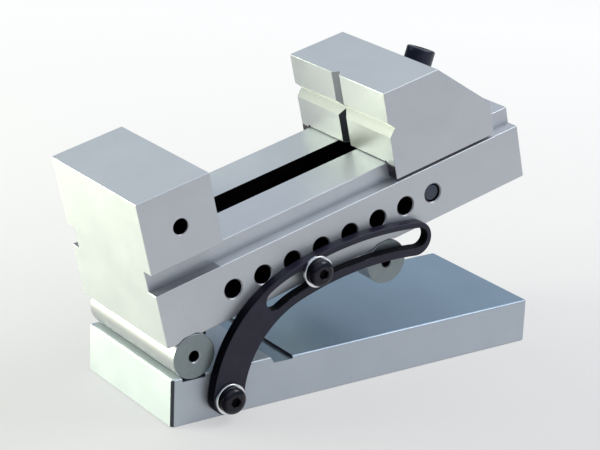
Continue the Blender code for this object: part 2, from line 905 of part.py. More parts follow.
def bush_bore():
    return arm_screw_thread / 2 + thread_gap


def make_pivot(black, bright):
    thread = arm_screw_thread / 2
    stem_end = arm_head_seat + half_width - pivot_thread_length
    stem = [(thread, 0), (thread, stem_end)]
    screw = dome_screw("arm_pivot_screw", stem, None, pivot_point(arm_head_seat))
    finish(screw, black)
    make_arm_washer("arm_pivot_washer", None, pivot_point(arm_front - mesh_gap), bright)
    inner = bush_bore()
    outer = inner + bush_wall
    sleeve = [(inner, arm_thickness), (outer, arm_thickness), (outer, 0), (inner, 0)]
    bush = add_object("arm_pivot_bush", turned(sleeve, small_steps, True), None,
                      pivot_point(arm_back), (math.pi / 2, 0, 0))
    finish(bush, bright)


def make_lock(vise, black, bright):
    thread, neck = arm_screw_thread / 2, arm_screw_neck / 2
    face = arm_head_seat + half_width
    stem = [
        (neck, 0),
        (neck, face - mesh_gap),
        (thread, face - mesh_gap - (thread - neck)),
        (thread, face - lock_thread_length),
    ]
    screw = dome_screw("arm_lock_screw", stem, vise, lock_point(arm_head_seat))
    finish(screw, black)
    make_arm_washer("arm_lock_washer", vise, lock_point(arm_front - mesh_gap), bright)


def make_arm_washer(name, parent, place, material):
    inner, outer = arm_washer_bore / 2, arm_washer_diameter / 2
    edge = mesh_gap
    profile = [
        (inner, arm_washer_thickness),
        (outer - edge, arm_washer_thickness),
        (outer, arm_washer_thickness - edge),
        (outer, 0),
        (inner, 0),
    ]
    washer = add_object(name, turned(profile, small_steps, True), parent, place,
                        (math.pi / 2, 0, 0))
    finish(washer, material)


def main():
    clear_scene()
    ground = make_material("ground_steel", (0.62, 0.64, 0.65), 0.34)
    jaw_steel = make_material("jaw_steel", (0.60, 0.62, 0.64), 0.36)
    base_steel = make_material("base_steel", (0.55, 0.60, 0.66), 0.38)
    roll_steel = make_material("roll_steel", (0.50, 0.52, 0.51), 0.30)
    blackened = make_material("blackened_steel", (0.035, 0.035, 0.05), 0.42)
    black_screw = make_material("black_screw_steel", (0.02, 0.02, 0.03), 0.22)
    bright = make_material("bright_plate", (0.85, 0.86, 0.88), 0.12)

    make_base_plate(base_steel)
    vise = add_empty("tilt_axis", (hinge_x, 0, hinge_z), -tilt)
    make_hinge_link(blackened, black_screw)

    make_vise_body(vise, ground)
    for name, centre in (("hinge_roll", 0), ("sine_roll", roll_centres)):
        roll = make_roll(name, vise, centre, roll_steel)
        if centre == 0:
            cut_link_slot(roll)
        make_roll_screws(name, vise, centre, black_screw)
    make_hinge_axle(vise, roll_steel)

    pin_place = (along(last_hole), 0, up(hole_height))
    make_movable_jaw(vise, pin_place, jaw_steel)
    make_clamp_screw(vise, pin_place, black_screw)
    make_spherical_washers(vise, pin_place, bright)
    make_pull_hook(vise, pin_place, blackened)
    make_cross_pin(vise, pin_place, roll_steel)

    make_lock_arm(vise, blackened)
    make_pivot(black_screw, bright)
    make_lock(vise, black_screw, bright)


main()
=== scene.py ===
import math

import bmesh
import bpy
from mathutils import Matrix, Vector


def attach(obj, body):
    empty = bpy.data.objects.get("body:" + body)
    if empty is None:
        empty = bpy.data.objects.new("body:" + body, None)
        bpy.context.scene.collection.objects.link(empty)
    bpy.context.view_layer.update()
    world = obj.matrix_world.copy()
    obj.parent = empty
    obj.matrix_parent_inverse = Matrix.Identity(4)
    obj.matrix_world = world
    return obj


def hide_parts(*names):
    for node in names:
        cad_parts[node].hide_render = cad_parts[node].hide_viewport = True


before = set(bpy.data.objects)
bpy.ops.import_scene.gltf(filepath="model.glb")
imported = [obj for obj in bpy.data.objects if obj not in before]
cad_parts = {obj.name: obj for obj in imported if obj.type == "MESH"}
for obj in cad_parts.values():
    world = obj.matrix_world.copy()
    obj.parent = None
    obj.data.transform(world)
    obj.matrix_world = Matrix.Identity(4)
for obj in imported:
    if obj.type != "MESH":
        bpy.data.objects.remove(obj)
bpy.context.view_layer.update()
scene = bpy.context.scene
scene.view_settings.view_transform = "Standard"
print("frame loaded:", len(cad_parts), "nodes")

# The vise's own frame: its origin on the hinge roll's axis, turned by the tilt, in metres
viseFrame = {
    "hinge": (-0.0845, 0.0, 0.030),
    "tilt": math.asin(0.24),
    "inset": 0.0111,          # body's end to the hinge roll's axis, along the bed
    "drop": 0.0087,           # body's underside to that axis
    "halfWidth": 0.035,
}
halfWidth = viseFrame["halfWidth"]
rollSpan = 0.100              # between the two rolls' axes
gap = 0.0003                  # between pieces that touch
close = gap / 10              # places nearer than this are the same
overrun = 0.002               # how far a cutter runs past a face


# Places along the bed from the body's end, and heights from its underside, in the vise frame
def along(distance):
    return distance - viseFrame["inset"]


def up(height):
    return height + viseFrame["drop"]


# Camera at the photograph's angle
cameraSetup = {
    "place": (-0.50965, -0.70921, 0.37743),
    "forward": (0.542044, 0.768403, -0.340214),
    "right": (0.824356, -0.564814, 0.037719),
    "lens": 126.387,
    "sensor": 36.0,
    "nearest": 0.02,
    "farthest": 20.0,
}


def makeCamera(setup):
    forward = Vector(setup["forward"]).normalized()
    right = Vector(setup["right"])
    right = (right - forward * right.dot(forward)).normalized()
    upward = right.cross(forward)
    data = bpy.data.cameras.new("photoCamera")
    data.lens = setup["lens"]
    data.sensor_width = setup["sensor"]
    data.sensor_fit = "HORIZONTAL"
    data.clip_start = setup["nearest"]
    data.clip_end = setup["farthest"]
    camera = bpy.data.objects.new("photoCamera", data)
    turn = Matrix((right, upward, -forward)).transposed().to_4x4()
    camera.matrix_world = Matrix.Translation(setup["place"]) @ turn
    scene.collection.objects.link(camera)
    scene.camera = camera


makeCamera(cameraSetup)
print("camera set")


# Node helpers: an input's value may also be another node's output, which is then linked
def newTree(name):
    material = bpy.data.materials.new(name)
    material.use_nodes = True
    tree = material.node_tree
    return material, tree, tree.nodes["Principled BSDF"]


def setInputs(tree, node, inputs):
    for key, value in inputs.items():
        if hasattr(value, "links"):
            tree.links.new(value, node.inputs[key])
        else:
            node.inputs[key].default_value = value
    return node


def addNode(tree, kind, inputs, **values):
    node = tree.nodes.new(kind)
    for key, value in values.items():
        setattr(node, key, value)
    return setInputs(tree, node, inputs)


def mathNode(tree, operation, a, b=0.5, clamp=False):
    node = addNode(tree, "ShaderNodeMath", {0: a, 1: b}, operation=operation, use_clamp=clamp)
    return node.outputs[0]


def vectorNode(tree, operation, a, b=(0, 0, 0)):
    return addNode(tree, "ShaderNodeVectorMath", {0: a, 1: b}, operation=operation).outputs


def splitVector(tree, vector):
    return addNode(tree, "ShaderNodeSeparateXYZ", {0: vector}).outputs


def mixValue(tree, factor, a, b):
    inputs = {0: factor, 2: a, 3: b}
    return addNode(tree, "ShaderNodeMix", inputs, data_type="FLOAT").outputs[0]


def mixColour(tree, factor, a, b, blend="MIX"):
    inputs = {0: factor}
    for key, value in ((6, a), (7, b)):
        inputs[key] = (*value, 1.0) if isinstance(value, tuple) else value
    node = addNode(tree, "ShaderNodeMix", inputs, data_type="RGBA", blend_type=blend)
    return node.outputs[2]


# A value moved from the range low to high into the range start to end, and held there
def remap(tree, value, low=0.0, high=1.0, start=0.0, end=1.0, kind="LINEAR"):
    inputs = {"Value": value, "From Min": low, "From Max": high, "To Min": start, "To Max": end}
    return addNode(tree, "ShaderNodeMapRange", inputs, interpolation_type=kind).outputs[0]


def noiseNode(tree, vector, scale, detail, roughness, distortion=0.0):
    return addNode(tree, "ShaderNodeTexNoise", {
        "Vector": vector, "Scale": scale, "Detail": detail, "Roughness": roughness,
        "Distortion": distortion,
    }).outputs["Fac"]


def bumpNode(tree, height, strength):
    inputs = {"Height": height, "Strength": strength, "Distance": 0.0001}
    return addNode(tree, "ShaderNodeBump", inputs).outputs[0]


# A node group whose inputs are numbers where they have a starting value, and else vectors
def newGroup(name, takes, gives):
    group = bpy.data.node_groups.new(name, "ShaderNodeTree")
    for title, start in takes.items():
        kind = "NodeSocketVector" if start is None else "NodeSocketFloat"
        socket = group.interface.new_socket(title, in_out="INPUT", socket_type=kind)
        if start is not None:
            socket.default_value = start
    for title in gives:
        group.interface.new_socket(title, in_out="OUTPUT", socket_type="NodeSocketFloat")
    return group, group.nodes.new("NodeGroupInput").outputs, group.nodes.new("NodeGroupOutput")


def placeGroup(tree, group, **inputs):
    return addNode(tree, "ShaderNodeGroup", inputs, node_tree=group).outputs


facingLimit = 0.7             # part of a normal above which a face counts as looking that way

# Fine parallel grinding lines: along X on long faces, along Y on faces that look along X
grindSetup = {
    "alongX": (18.0, 2600.0, 2600.0), "alongY": (2600.0, 18.0, 2600.0), "lines": (1.0, 3.0, 0.6),
    "cloud": (45.0, 4.0, 0.55),
}


def makeGrindGroup(setup):
    takes = {"Vector": None, "Normal": None, "Fineness": 1.0}
    group, take, give = newGroup("grindLines", takes, ["Lines", "Cloud"])
    sideways = mathNode(group, "ABSOLUTE", splitVector(group, take["Normal"])[0])
    facing = mathNode(group, "GREATER_THAN", sideways, facingLimit)
    found = []
    for stretch in (setup["alongX"], setup["alongY"]):
        inputs = {0: vectorNode(group, "MULTIPLY", take["Vector"], stretch)[0],
                  "Scale": take["Fineness"]}
        fine = addNode(group, "ShaderNodeVectorMath", inputs, operation="SCALE").outputs[0]
        found.append(noiseNode(group, fine, *setup["lines"]))
    setInputs(group, give, {
        "Lines": mixValue(group, facing, *found),
        "Cloud": noiseNode(group, take["Vector"], *setup["cloud"]),
    })
    return group


# A mask that is high along sharp edges, from the difference of a rounded normal; it lays rubbed
# wear on most pieces and painted shade on the cross pin's edges
def makeEdgeGroup(samples=6):
    group, take, give = newGroup("edgeWearAndShade", {"Radius": 0.0006, "Gain": 1.5}, ["Mask"])
    rounded = addNode(group, "ShaderNodeBevel", {"Radius": take["Radius"]}, samples=samples)
    plain = group.nodes.new("ShaderNodeNewGeometry").outputs["Normal"]
    same = vectorNode(group, "DOT_PRODUCT", rounded.outputs[0], plain)["Value"]
    lack = mathNode(group, "SUBTRACT", 1.0, same)
    setInputs(group, give, {"Mask": mathNode(group, "MULTIPLY", lack, take["Gain"], True)})
    return group


# Fine rings round an axis along Y, on the end face and along the length of a turned piece
ringSetup = {
    "rings": {"Scale": 5200.0, "Detail": 2.0, "Roughness": 0.6}, "cloud": (260.0, 5.0, 0.7),
}


def makeRingGroup(setup):
    takes = {"Vector": None, "Normal": None, "Centre": None}
    group, take, give = newGroup("turnedRings", takes, ["Rings", "Cloud"])
    split = splitVector(group, vectorNode(group, "SUBTRACT", take["Vector"], take["Centre"])[0])
    flat = addNode(group, "ShaderNodeCombineXYZ", {0: split[0], 1: split[2]}).outputs[0]
    reach = vectorNode(group, "LENGTH", flat)["Value"]
    endways = mathNode(group, "ABSOLUTE", splitVector(group, take["Normal"])[1])
    ended = mathNode(group, "GREATER_THAN", endways, facingLimit)
    inputs = {"W": mixValue(group, ended, split[1], reach), **setup["rings"]}
    rings = addNode(group, "ShaderNodeTexNoise", inputs, noise_dimensions="1D")
    setInputs(group, give, {
        "Rings": rings.outputs["Fac"],
        "Cloud": noiseNode(group, take["Vector"], *setup["cloud"]),
    })
    return group


# Sparse dark specks, soft smears and a few long thin scratches
marksSetup = {
    "fine": (900.0, 2.0, 0.5), "specks": (0.73, 0.82), "smears": (70.0, 3.0, 0.5, 0.6),
    "stretch": (30.0, 700.0, 700.0), "lines": (1.0, 1.0, 0.5, 0.3), "scratches": (0.72, 0.80),
}


def makeMarksGroup(setup):
    gives = ["Specks", "Smears", "Scratches"]
    group, take, give = newGroup("wearMarks", {"Vector": None}, gives)
    fine = noiseNode(group, take["Vector"], *setup["fine"])
    long = vectorNode(group, "MULTIPLY", take["Vector"], setup["stretch"])[0]
    lines = noiseNode(group, long, *setup["lines"])
    setInputs(group, give, {
        "Specks": remap(group, fine, *setup["specks"]),
        "Smears": noiseNode(group, take["Vector"], *setup["smears"]),
        "Scratches": remap(group, lines, *setup["scratches"]),
    })
    return group


# A mask that is high in inner corners, for painted shade there
def makeCornerGroup(samples=6, strength=0.8):
    group, take, give = newGroup("cornerShade", {"Reach": 0.003}, ["Mask"])
    hidden = addNode(group, "ShaderNodeAmbientOcclusion", {"Distance": take["Reach"]},
                     samples=samples, only_local=True).outputs["AO"]
    closed = mathNode(group, "SUBTRACT", 1.0, hidden, True)
    setInputs(group, give, {"Mask": mathNode(group, "MULTIPLY", closed, strength, True)})
    return group


cornerShade = makeCornerGroup()
grindLines = makeGrindGroup(grindSetup)
edgeWearAndShade = makeEdgeGroup()
turnedRings = makeRingGroup(ringSetup)
wearMarks = makeMarksGroup(marksSetup)


# Object coordinates turned so that X runs along the bed
def viseCoordinates(tree):
    place = tree.nodes.new("ShaderNodeTexCoord").outputs
    turned = []
    for source, centre in (("Object", viseFrame["hinge"]), ("Normal", (0, 0, 0))):
        inputs = {"Vector": place[source], "Center": centre, "Angle": viseFrame["tilt"]}
        turn = addNode(tree, "ShaderNodeVectorRotate", inputs, rotation_type="Y_AXIS")
        turned.append(turn.outputs[0])
    return turned


def plainCoordinates(tree):
    place = tree.nodes.new("ShaderNodeTexCoord").outputs
    return place["Object"], place["Normal"]


groundFinish = {
    "colour": (0.62, 0.645, 0.68),
    "darker": (0.535, 0.56, 0.60),
    "edge": (0.70, 0.73, 0.75),
    "speck": 0.6,             # share of the darker tone
    # Corner is painted shade: the darker tone's share in inner corners
    "corner": 0.42,           # the same, in inner corners
    "metallic": 0.82,
    "rough": (0.32, 0.44),
    "smear": 0.12,
    "bump": 0.05,
}
# Upper is painted shade and reflection: it tints faces that look up, where they lie below upperEnd
baseFinish = dict(groundFinish, colour=(0.54, 0.585, 0.64), darker=(0.465, 0.51, 0.57),
                  upper=(0.62, 0.74, 0.84), upperEnd=0.021)
# Painted shadow of the fixed jaw on the upward faces of the grooves under it
jawShadowGrooveFinish = dict(groundFinish, upper=(0.49, 0.49, 0.50), upperEnd=1.0)
# Near-black painted shade for the base's walls that look to -X, its left end chamfers and foot
# line, and the upright vee's lower half
shadedCornerFinish = dict(groundFinish, colour=(0.06, 0.065, 0.08), darker=(0.045, 0.05, 0.06))
# Painted shade on the rims of the holes
shadedRimFinish = dict(groundFinish, colour=(0.33, 0.33, 0.36), darker=(0.28, 0.28, 0.31),
                 edge=(0.45, 0.43, 0.46))
# Far is painted shadow of the fixed jaw on faces that look to -X, the more so over farRange, and
# skirt is painted shade on those below skirtEnd
jawFinish = dict(groundFinish, far=(0.50, 0.50, 0.55), farRange=(-0.045, 0.03),
                 skirt=(0.10, 0.08, 0.10), skirtEnd=0.0713)
# The vees: a darker tone as painted shade in their recess, with the same far shadow as the jaw
shadedVeeFinish = dict(groundFinish, colour=(0.53, 0.54, 0.57), darker=(0.46, 0.47, 0.50),
                 far=(0.50, 0.50, 0.55), farRange=(-0.045, 0.03))
# Side is the colour of turned steel away from its front end; the darker front end is painted shade
# and the bluer side tone is a painted reflection
rollFinish = dict(groundFinish, colour=(0.285, 0.33, 0.34), darker=(0.215, 0.255, 0.265),
                  side=(0.40, 0.41, 0.45), bump=0.1)
# The pin's dark front end and the black ring along its edges are painted shade in its hole
pinFinish = dict(groundFinish, colour=(0.085, 0.10, 0.13), darker=(0.055, 0.065, 0.085),
                 edge=(0.02, 0.02, 0.025), side=(0.2, 0.22, 0.25), bump=0.1)
upwardRange, backwardRange = (0.6, 0.8), (-0.6, -0.8)      # of a part of the normal


def shaded(colour, share):
    return tuple(part * share for part in colour)


# How much one part of a vector lies between two bounds, from none to all
def rangeMask(tree, vector, axis, low, high):
    return remap(tree, splitVector(tree, vector)[axis], low, high)


def makeGround(name, finish, coordinates):
    material, tree, shader = newTree(name)
    vector, normal = coordinates(tree)
    grind = placeGroup(tree, grindLines, Vector=vector, Normal=normal)
    wear = placeGroup(tree, edgeWearAndShade)
    marks = placeGroup(tree, wearMarks, Vector=vector)
    corners = placeGroup(tree, cornerShade)

    def below(height):
        return rangeMask(tree, vector, 2, height + gap, height - gap)

    # Painted shade: multiplies the tone by a tint on faces that look one way, where a mask allows
    def paintShade(tone, axis, bounds, where, tint):
        factor = mathNode(tree, "MULTIPLY", rangeMask(tree, normal, axis, *bounds), where)
        return mixColour(tree, factor, tone, tint, "MULTIPLY")

    tone = mixColour(tree, grind["Cloud"], finish["darker"], finish["colour"])
    tone = mixColour(tree, marks["Specks"], tone, shaded(finish["darker"], finish["speck"]))
    if "upper" in finish:
        tone = paintShade(tone, 2, upwardRange, below(finish["upperEnd"]), finish["upper"])
    if "far" in finish:
        back = rangeMask(tree, vector, 1, *finish["farRange"])
        tone = paintShade(tone, 0, backwardRange, back, finish["far"])
    if "skirt" in finish:
        tone = paintShade(tone, 0, backwardRange, below(finish["skirtEnd"]), finish["skirt"])
    # Painted shade in inner corners
    tone = mixColour(tree, corners["Mask"], tone, shaded(finish["darker"], finish["corner"]))
    low, high = finish["rough"]
    rough = remap(tree, grind["Lines"], start=low, end=high)
    softer = mathNode(tree, "MULTIPLY", marks["Smears"], finish["smear"])
    relief = mathNode(tree, "SUBTRACT", grind["Lines"], marks["Scratches"])
    setInputs(tree, shader, {
        "Base Color": mixColour(tree, wear["Mask"], tone, finish["edge"]),
        "Roughness": mathNode(tree, "ADD", rough, softer),
        "Normal": bumpNode(tree, relief, finish["bump"]),
        "Metallic": finish["metallic"],
    })
    return material


# Turned steel: fine rings round an axis along Y, through a place in the vise frame
def makeTurned(name, finish, place):
    material, tree, shader = newTree(name)
    vector, normal = viseCoordinates(tree)
    centre = tuple(a + b for a, b in zip(viseFrame["hinge"], place))
    rings = placeGroup(tree, turnedRings, Vector=vector, Normal=normal, Centre=centre)
    wear = placeGroup(tree, edgeWearAndShade)
    marks = placeGroup(tree, wearMarks, Vector=vector)
    tone = mixColour(tree, rings["Cloud"], finish["darker"], finish["colour"])
    # Painted shade and reflection: the front end keeps the tone, the other faces take the side
    # tone
    ended = rangeMask(tree, normal, 1, *backwardRange)
    tone = mixColour(tree, ended, finish["side"], tone)
    tone = mixColour(tree, marks["Specks"], tone, shaded(finish["darker"], finish["speck"]))
    low, high = finish["rough"]
    setInputs(tree, shader, {
        "Base Color": mixColour(tree, wear["Mask"], tone, finish["edge"]),
        "Roughness": remap(tree, rings["Rings"], start=low, end=high),
        "Normal": bumpNode(tree, rings["Rings"], finish["bump"]),
        "Metallic": finish["metallic"],
    })
    return material


# Blackened and plated steel: faces that look to -X take a darker side tone and shine less, as
# painted shade
blackSetup = {
    "noise": (160.0, 5.0, 0.65), "scuffRange": (0.45, 0.75), "wearTone": 2.2, "wearRadius": 0.0004,
    "sideRange": (-0.35, -0.75), "roughShares": (0.85, 1.2), "sideShine": 0.03, "bump": 0.08,
}


def makeBlack(name, colour, scuff, side, roughness, metallic=0.0, shine=0.4, setup=blackSetup):
    material, tree, shader = newTree(name)
    vector, normal = plainCoordinates(tree)
    noise = noiseNode(tree, vector, *setup["noise"])
    tone = mixColour(tree, remap(tree, noise, *setup["scuffRange"]), colour, scuff)
    wear = placeGroup(tree, edgeWearAndShade, Radius=setup["wearRadius"])
    tone = mixColour(tree, wear["Mask"], tone, shaded(scuff, setup["wearTone"]))
    # Painted shade: faces that look to -X take the side tone and less shine
    turned = rangeMask(tree, normal, 0, *setup["sideRange"])
    low, high = setup["roughShares"]
    setInputs(tree, shader, {
        "Base Color": mixColour(tree, turned, tone, side),
        "Roughness": remap(tree, noise, start=roughness * low, end=roughness * high),
        "Specular IOR Level": remap(tree, turned, start=shine, end=min(shine, setup["sideShine"])),
        "Normal": bumpNode(tree, noise, setup["bump"]),
        "Metallic": metallic,
    })
    return material


groundSteel = makeGround("groundSteel", groundFinish, viseCoordinates)
baseSteel = makeGround("baseSteel", baseFinish, plainCoordinates)
shadedCornerSteel = makeGround("shadedCornerSteel", shadedCornerFinish, plainCoordinates)
jawShadowGrooveSteel = makeGround("jawShadowGrooveSteel", jawShadowGrooveFinish, viseCoordinates)
jawSteel = makeGround("jawSteel", jawFinish, viseCoordinates)
shadedVeeSteel = makeGround("shadedVeeSteel", shadedVeeFinish, viseCoordinates)
shadedRimSteel = makeGround("shadedRimSteel", shadedRimFinish, viseCoordinates)
hingeRollSteel = makeTurned("hingeRollSteel", rollFinish, (0.0, 0.0, 0.0))
sineRollSteel = makeTurned("sineRollSteel", rollFinish, (rollSpan, 0.0, 0.0))
blackenedArm = makeBlack(
    "blackenedArm", colour=(0.009, 0.0085, 0.024), scuff=(0.017, 0.017, 0.035),
    side=(0.002, 0.002, 0.004), roughness=0.5,
)
# Painted shade in the arm's slot and bore
armHollowShade = makeBlack(
    "armHollowShade", colour=(0.004, 0.004, 0.006), scuff=(0.008, 0.008, 0.012),
    side=(0.002, 0.002, 0.003), roughness=0.6, shine=0.1,
)
clampBlack = makeBlack(
    "clampBlack", colour=(0.020, 0.023, 0.042), scuff=(0.028, 0.032, 0.052),
    side=(0.016, 0.018, 0.032), roughness=0.3, metallic=0.3,
)
blackScrew = makeBlack(
    "blackScrew", colour=(0.008, 0.008, 0.014), scuff=(0.014, 0.014, 0.024),
    side=(0.006, 0.006, 0.010), roughness=0.1, metallic=0.3,
)
# Painted shade inside hexagon sockets
socketShade = makeBlack(
    "socketShade", colour=(0.003, 0.003, 0.004), scuff=(0.006, 0.006, 0.008),
    side=(0.002, 0.002, 0.003), roughness=0.5, shine=0.1,
)
# Near black: painted shade inside bores, slots and threads, with the black scale of the milled
# slot
boreShadeBlack = makeBlack(
    "boreShadeBlack", colour=(0.002, 0.002, 0.003), scuff=(0.005, 0.004, 0.004),
    side=(0.002, 0.002, 0.002), roughness=0.7, shine=0.0,
)
brightPlate = makeBlack(
    "brightPlate", colour=(0.8, 0.81, 0.83), scuff=(0.86, 0.87, 0.88),
    side=(0.7, 0.71, 0.73), roughness=0.14, metallic=1.0,
)

# The CAD pieces that stay as they are
nodeFinish = {
    "hinge_axle": hingeRollSteel,
    "pull_hook": blackenedArm,
    "hinge_link": blackenedArm,
}
for nodeName, finish in nodeFinish.items():
    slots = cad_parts[nodeName].data.materials
    slots.clear()
    slots.append(finish)
print("materials made")

# Mesh helpers: a shape is a bmesh, and every length is in metres
smoothAngle = math.radians(30)
flatAngle = math.radians(1)
quarter = math.pi / 2
holeSteps, drillSteps, slotSteps, reliefSteps = 64, 48, 24, 24


def joinRings(shape, upper, lower, materialIndex=0):
    count = len(upper)
    for i in range(count):
        j = (i + 1) % count
        face = shape.faces.new((upper[i], upper[j], lower[j], lower[i]))
        face.material_index = materialIndex


# A solid between two copies of an outline
def spanShape(first, last):
    shape = bmesh.new()
    front = [shape.verts.new(point) for point in first]
    back = [shape.verts.new(point) for point in last]
    shape.faces.new(front)
    shape.faces.new(reversed(back))
    joinRings(shape, front, back)
    return shape


def plateShape(outline, low, high):
    return spanShape([(x, low, z) for x, z in outline], [(x, high, z) for x, z in outline])


def planShape(plan, low, high):
    return spanShape([(x, y, high) for x, y in plan], [(x, y, low) for x, y in plan])


def boxShape(low, high):
    (x0, y0, z0), (x1, y1, z1) = low, high
    return plateShape([(x0, z0), (x1, z0), (x1, z1), (x0, z1)], y0, y1)


# A radius may be a number or a function of the angle and the height; bands in dark take slot 1
def turnedShape(profile, steps, hollow=False, dark=()):
    shape = bmesh.new()
    rings = []
    for radius, height in profile:
        ring = []
        for i in range(steps):
            angle = 2 * math.pi * i / steps
            here = radius(angle, height) if callable(radius) else radius
            ring.append(shape.verts.new((here * math.cos(angle), here * math.sin(angle), height)))
        rings.append(ring)
    for i, (upper, lower) in enumerate(zip(rings, rings[1:])):
        joinRings(shape, upper, lower, 1 if i in dark else 0)
    if hollow:
        joinRings(shape, rings[-1], rings[0])
    else:
        shape.faces.new(rings[0])
        last = shape.faces.new(reversed(rings[-1]))
        last.material_index = 1 if dark else 0
    return shape


def rodShape(radius, high, low, steps):
    return turnedShape([(radius, high), (radius, low)], steps)


def arcPoints(centre, radius, start, end, steps):
    points = []
    for i in range(steps + 1):
        angle = start + (end - start) * i / steps
        x = centre[0] + radius * math.cos(angle)
        y = centre[1] + radius * math.sin(angle)
        points.append((x, y))
    return points


# Profile points of a rounded corner, from the angle start to end round a centre
def corner(radius, height, size, start, end, steps=4):
    return arcPoints((radius, height), size, math.radians(start), math.radians(end), steps)


# Profile of a rod with rounded rims, its middle at height zero
def rodProfile(radius, half, rim):
    ends = corner(radius - rim, half - rim, rim, 90, 0)
    return ends + corner(radius - rim, rim - half, rim, 0, -90)


def addPiece(name, shape, matrix, *materials):
    bmesh.ops.recalc_face_normals(shape, faces=shape.faces)
    mesh = bpy.data.meshes.new(name)
    shape.to_mesh(mesh)
    shape.free()
    mesh.transform(matrix)
    for material in materials:
        mesh.materials.append(material)
    piece = bpy.data.objects.new(name, mesh)
    scene.collection.objects.link(piece)
    return piece


def applyModifiers(piece):
    bpy.context.view_layer.update()
    graph = bpy.context.evaluated_depsgraph_get()
    made = bpy.data.meshes.new_from_object(piece.evaluated_get(graph))
    piece.modifiers.clear()
    old = piece.data
    piece.data = made
    bpy.data.meshes.remove(old)
    made.name = piece.name


# Cuts the shape out of the piece, and lines the cut with the materials
def cut(piece, shape, matrix, *materials):
    tool = addPiece("tool", shape, matrix, *materials)
    modifier = piece.modifiers.new("cut", "BOOLEAN")
    modifier.operation = "DIFFERENCE"
    modifier.solver = "EXACT"
    modifier.material_mode = "TRANSFER"
    modifier.object = tool
    applyModifiers(piece)
    bpy.data.objects.remove(tool, do_unlink=True)


def roundEdges(piece, width, segments=3, chosen=None, material=-1):
    shape = bmesh.new()
    shape.from_mesh(piece.data)
    bmesh.ops.dissolve_limit(shape, angle_limit=flatAngle, verts=shape.verts, edges=shape.edges,
                             delimit={"MATERIAL"})
    edges = []
    for edge in shape.edges:
        if not (edge.is_manifold and edge.is_convex):
            continue
        if edge.calc_face_angle() > smoothAngle and (chosen is None or chosen(edge)):
            edges.append(edge)
    bmesh.ops.bevel(
        shape, geom=edges, offset=width, offset_type="OFFSET", segments=segments,
        profile=0.5, affect="EDGES", material=material,
    )
    shape.to_mesh(piece.data)
    shape.free()


# Smooth shading that leaves the large faces flat
def shade(piece):
    piece.data.shade_smooth()
    piece.data.set_sharp_from_angle(angle=smoothAngle)
    weighted = piece.modifiers.new("weighted", "WEIGHTED_NORMAL")
    weighted.keep_sharp = True
    weighted.weight = 100
    applyModifiers(piece)


def settle(piece, node, body):
    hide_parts(node)
    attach(piece, body)
    shade(piece)


def at(x, y, z):
    return Matrix.Translation((x, y, z))


def leaning(angle):
    return Matrix.Rotation(angle, 4, "Y")


# Turns a turned shape's top to the front for side -1, and to the back for side 1
def endTurn(side):
    return Matrix.Rotation(-side * quarter, 4, "X")


viseTurn = leaning(-viseFrame["tilt"])
viseMatrix = Matrix.Translation(viseFrame["hinge"]) @ viseTurn
alongY = endTurn(-1)

# Vise body
bodySetup = {
    "length": 0.190, "jaw": 0.035, "height": 0.067, "bed": 0.0325,
    "ledge": 0.025, "sole": 0.0344, "groove": 0.006, "edge": 0.00045, "shadeEnd": 0.0315,
    "slotStart": 0.036, "slotEnd": 0.176, "slotWidth": 0.014,
    "firstHole": 0.0352, "holePitch": 0.015, "holeCount": 8, "holeHeight": 0.0125,
    "holeRadius": 0.00415, "holeChamfer": 0.0005,
    "jawHole": 0.0034, "jawHoleDepth": 0.016, "jawHoleRise": 0.04975, "threadPitch": 0.00125,
    "threadDepth": 0.0005,
    "notchFoot": 0.0065, "notchCrown": 0.003, "notchHeight": 0.0016,
    "lockPlace": 0.0727, "lockHeight": 0.0062, "lockHole": 0.0033, "lockDepth": 0.012,
}
lastHole = bodySetup["firstHole"] + (bodySetup["holeCount"] - 1) * bodySetup["holePitch"]
pinPlace = (along(lastHole), 0.0, up(bodySetup["holeHeight"]))


# Profile of a tapped hole below a face at height zero
def tappedProfile(radius, chamfer, pitch, depth, bottom):
    profile = [(radius + chamfer + overrun, overrun), (radius + chamfer, 0)]
    height = -chamfer
    while height > bottom:
        profile.append((radius, height))
        profile.append((radius + depth, height - pitch / 2))
        height -= pitch
    return profile + [(radius, height), (radius, bottom - pitch)]


def makeBody(setup):
    left, right = along(0), along(setup["length"])
    outline = [
        (left, up(0)),
        (right, up(0)),
        (right, up(setup["bed"])),
        (along(setup["jaw"]), up(setup["bed"])),
        (along(setup["jaw"]), up(setup["height"])),
        (left, up(setup["height"])),
    ]
    body = addPiece("viseBody", plateShape(outline, -halfWidth, halfWidth), viseMatrix,
                    groundSteel, boreShadeBlack)
    cutGrooves(body, setup, left - overrun, right + overrun)
    roundEdges(body, setup["edge"])
    cutSlot(body, setup)
    cutNotches(body, setup)
    cutHoles(body, setup)
    settle(body, "vise_body", "vise")


# The clamping grooves along both sides, with the fixed jaw's painted shadow as far as shadeEnd
def cutGrooves(body, setup, start, stop):
    change = along(setup["shadeEnd"])
    for side in (-1, 1):
        near, far = sorted((side * (halfWidth - setup["groove"]), side * (halfWidth + overrun)))
        for low, high, lining in ((start, change, jawShadowGrooveSteel), (change, stop, groundSteel)):
            cut(body, boxShape((low, near, up(setup["ledge"])), (high, far, up(setup["sole"]))),
                viseMatrix, lining)


def cutSlot(body, setup):
    radius = setup["slotWidth"] / 2
    first, last = along(setup["slotStart"]) + radius, along(setup["slotEnd"]) - radius
    plan = arcPoints((last, 0), radius, -quarter, quarter, slotSteps)
    plan += arcPoints((first, 0), radius, quarter, 3 * quarter, slotSteps)
    cut(body, planShape(plan, up(-overrun), up(setup["bed"] + overrun)), viseMatrix, boreShadeBlack)


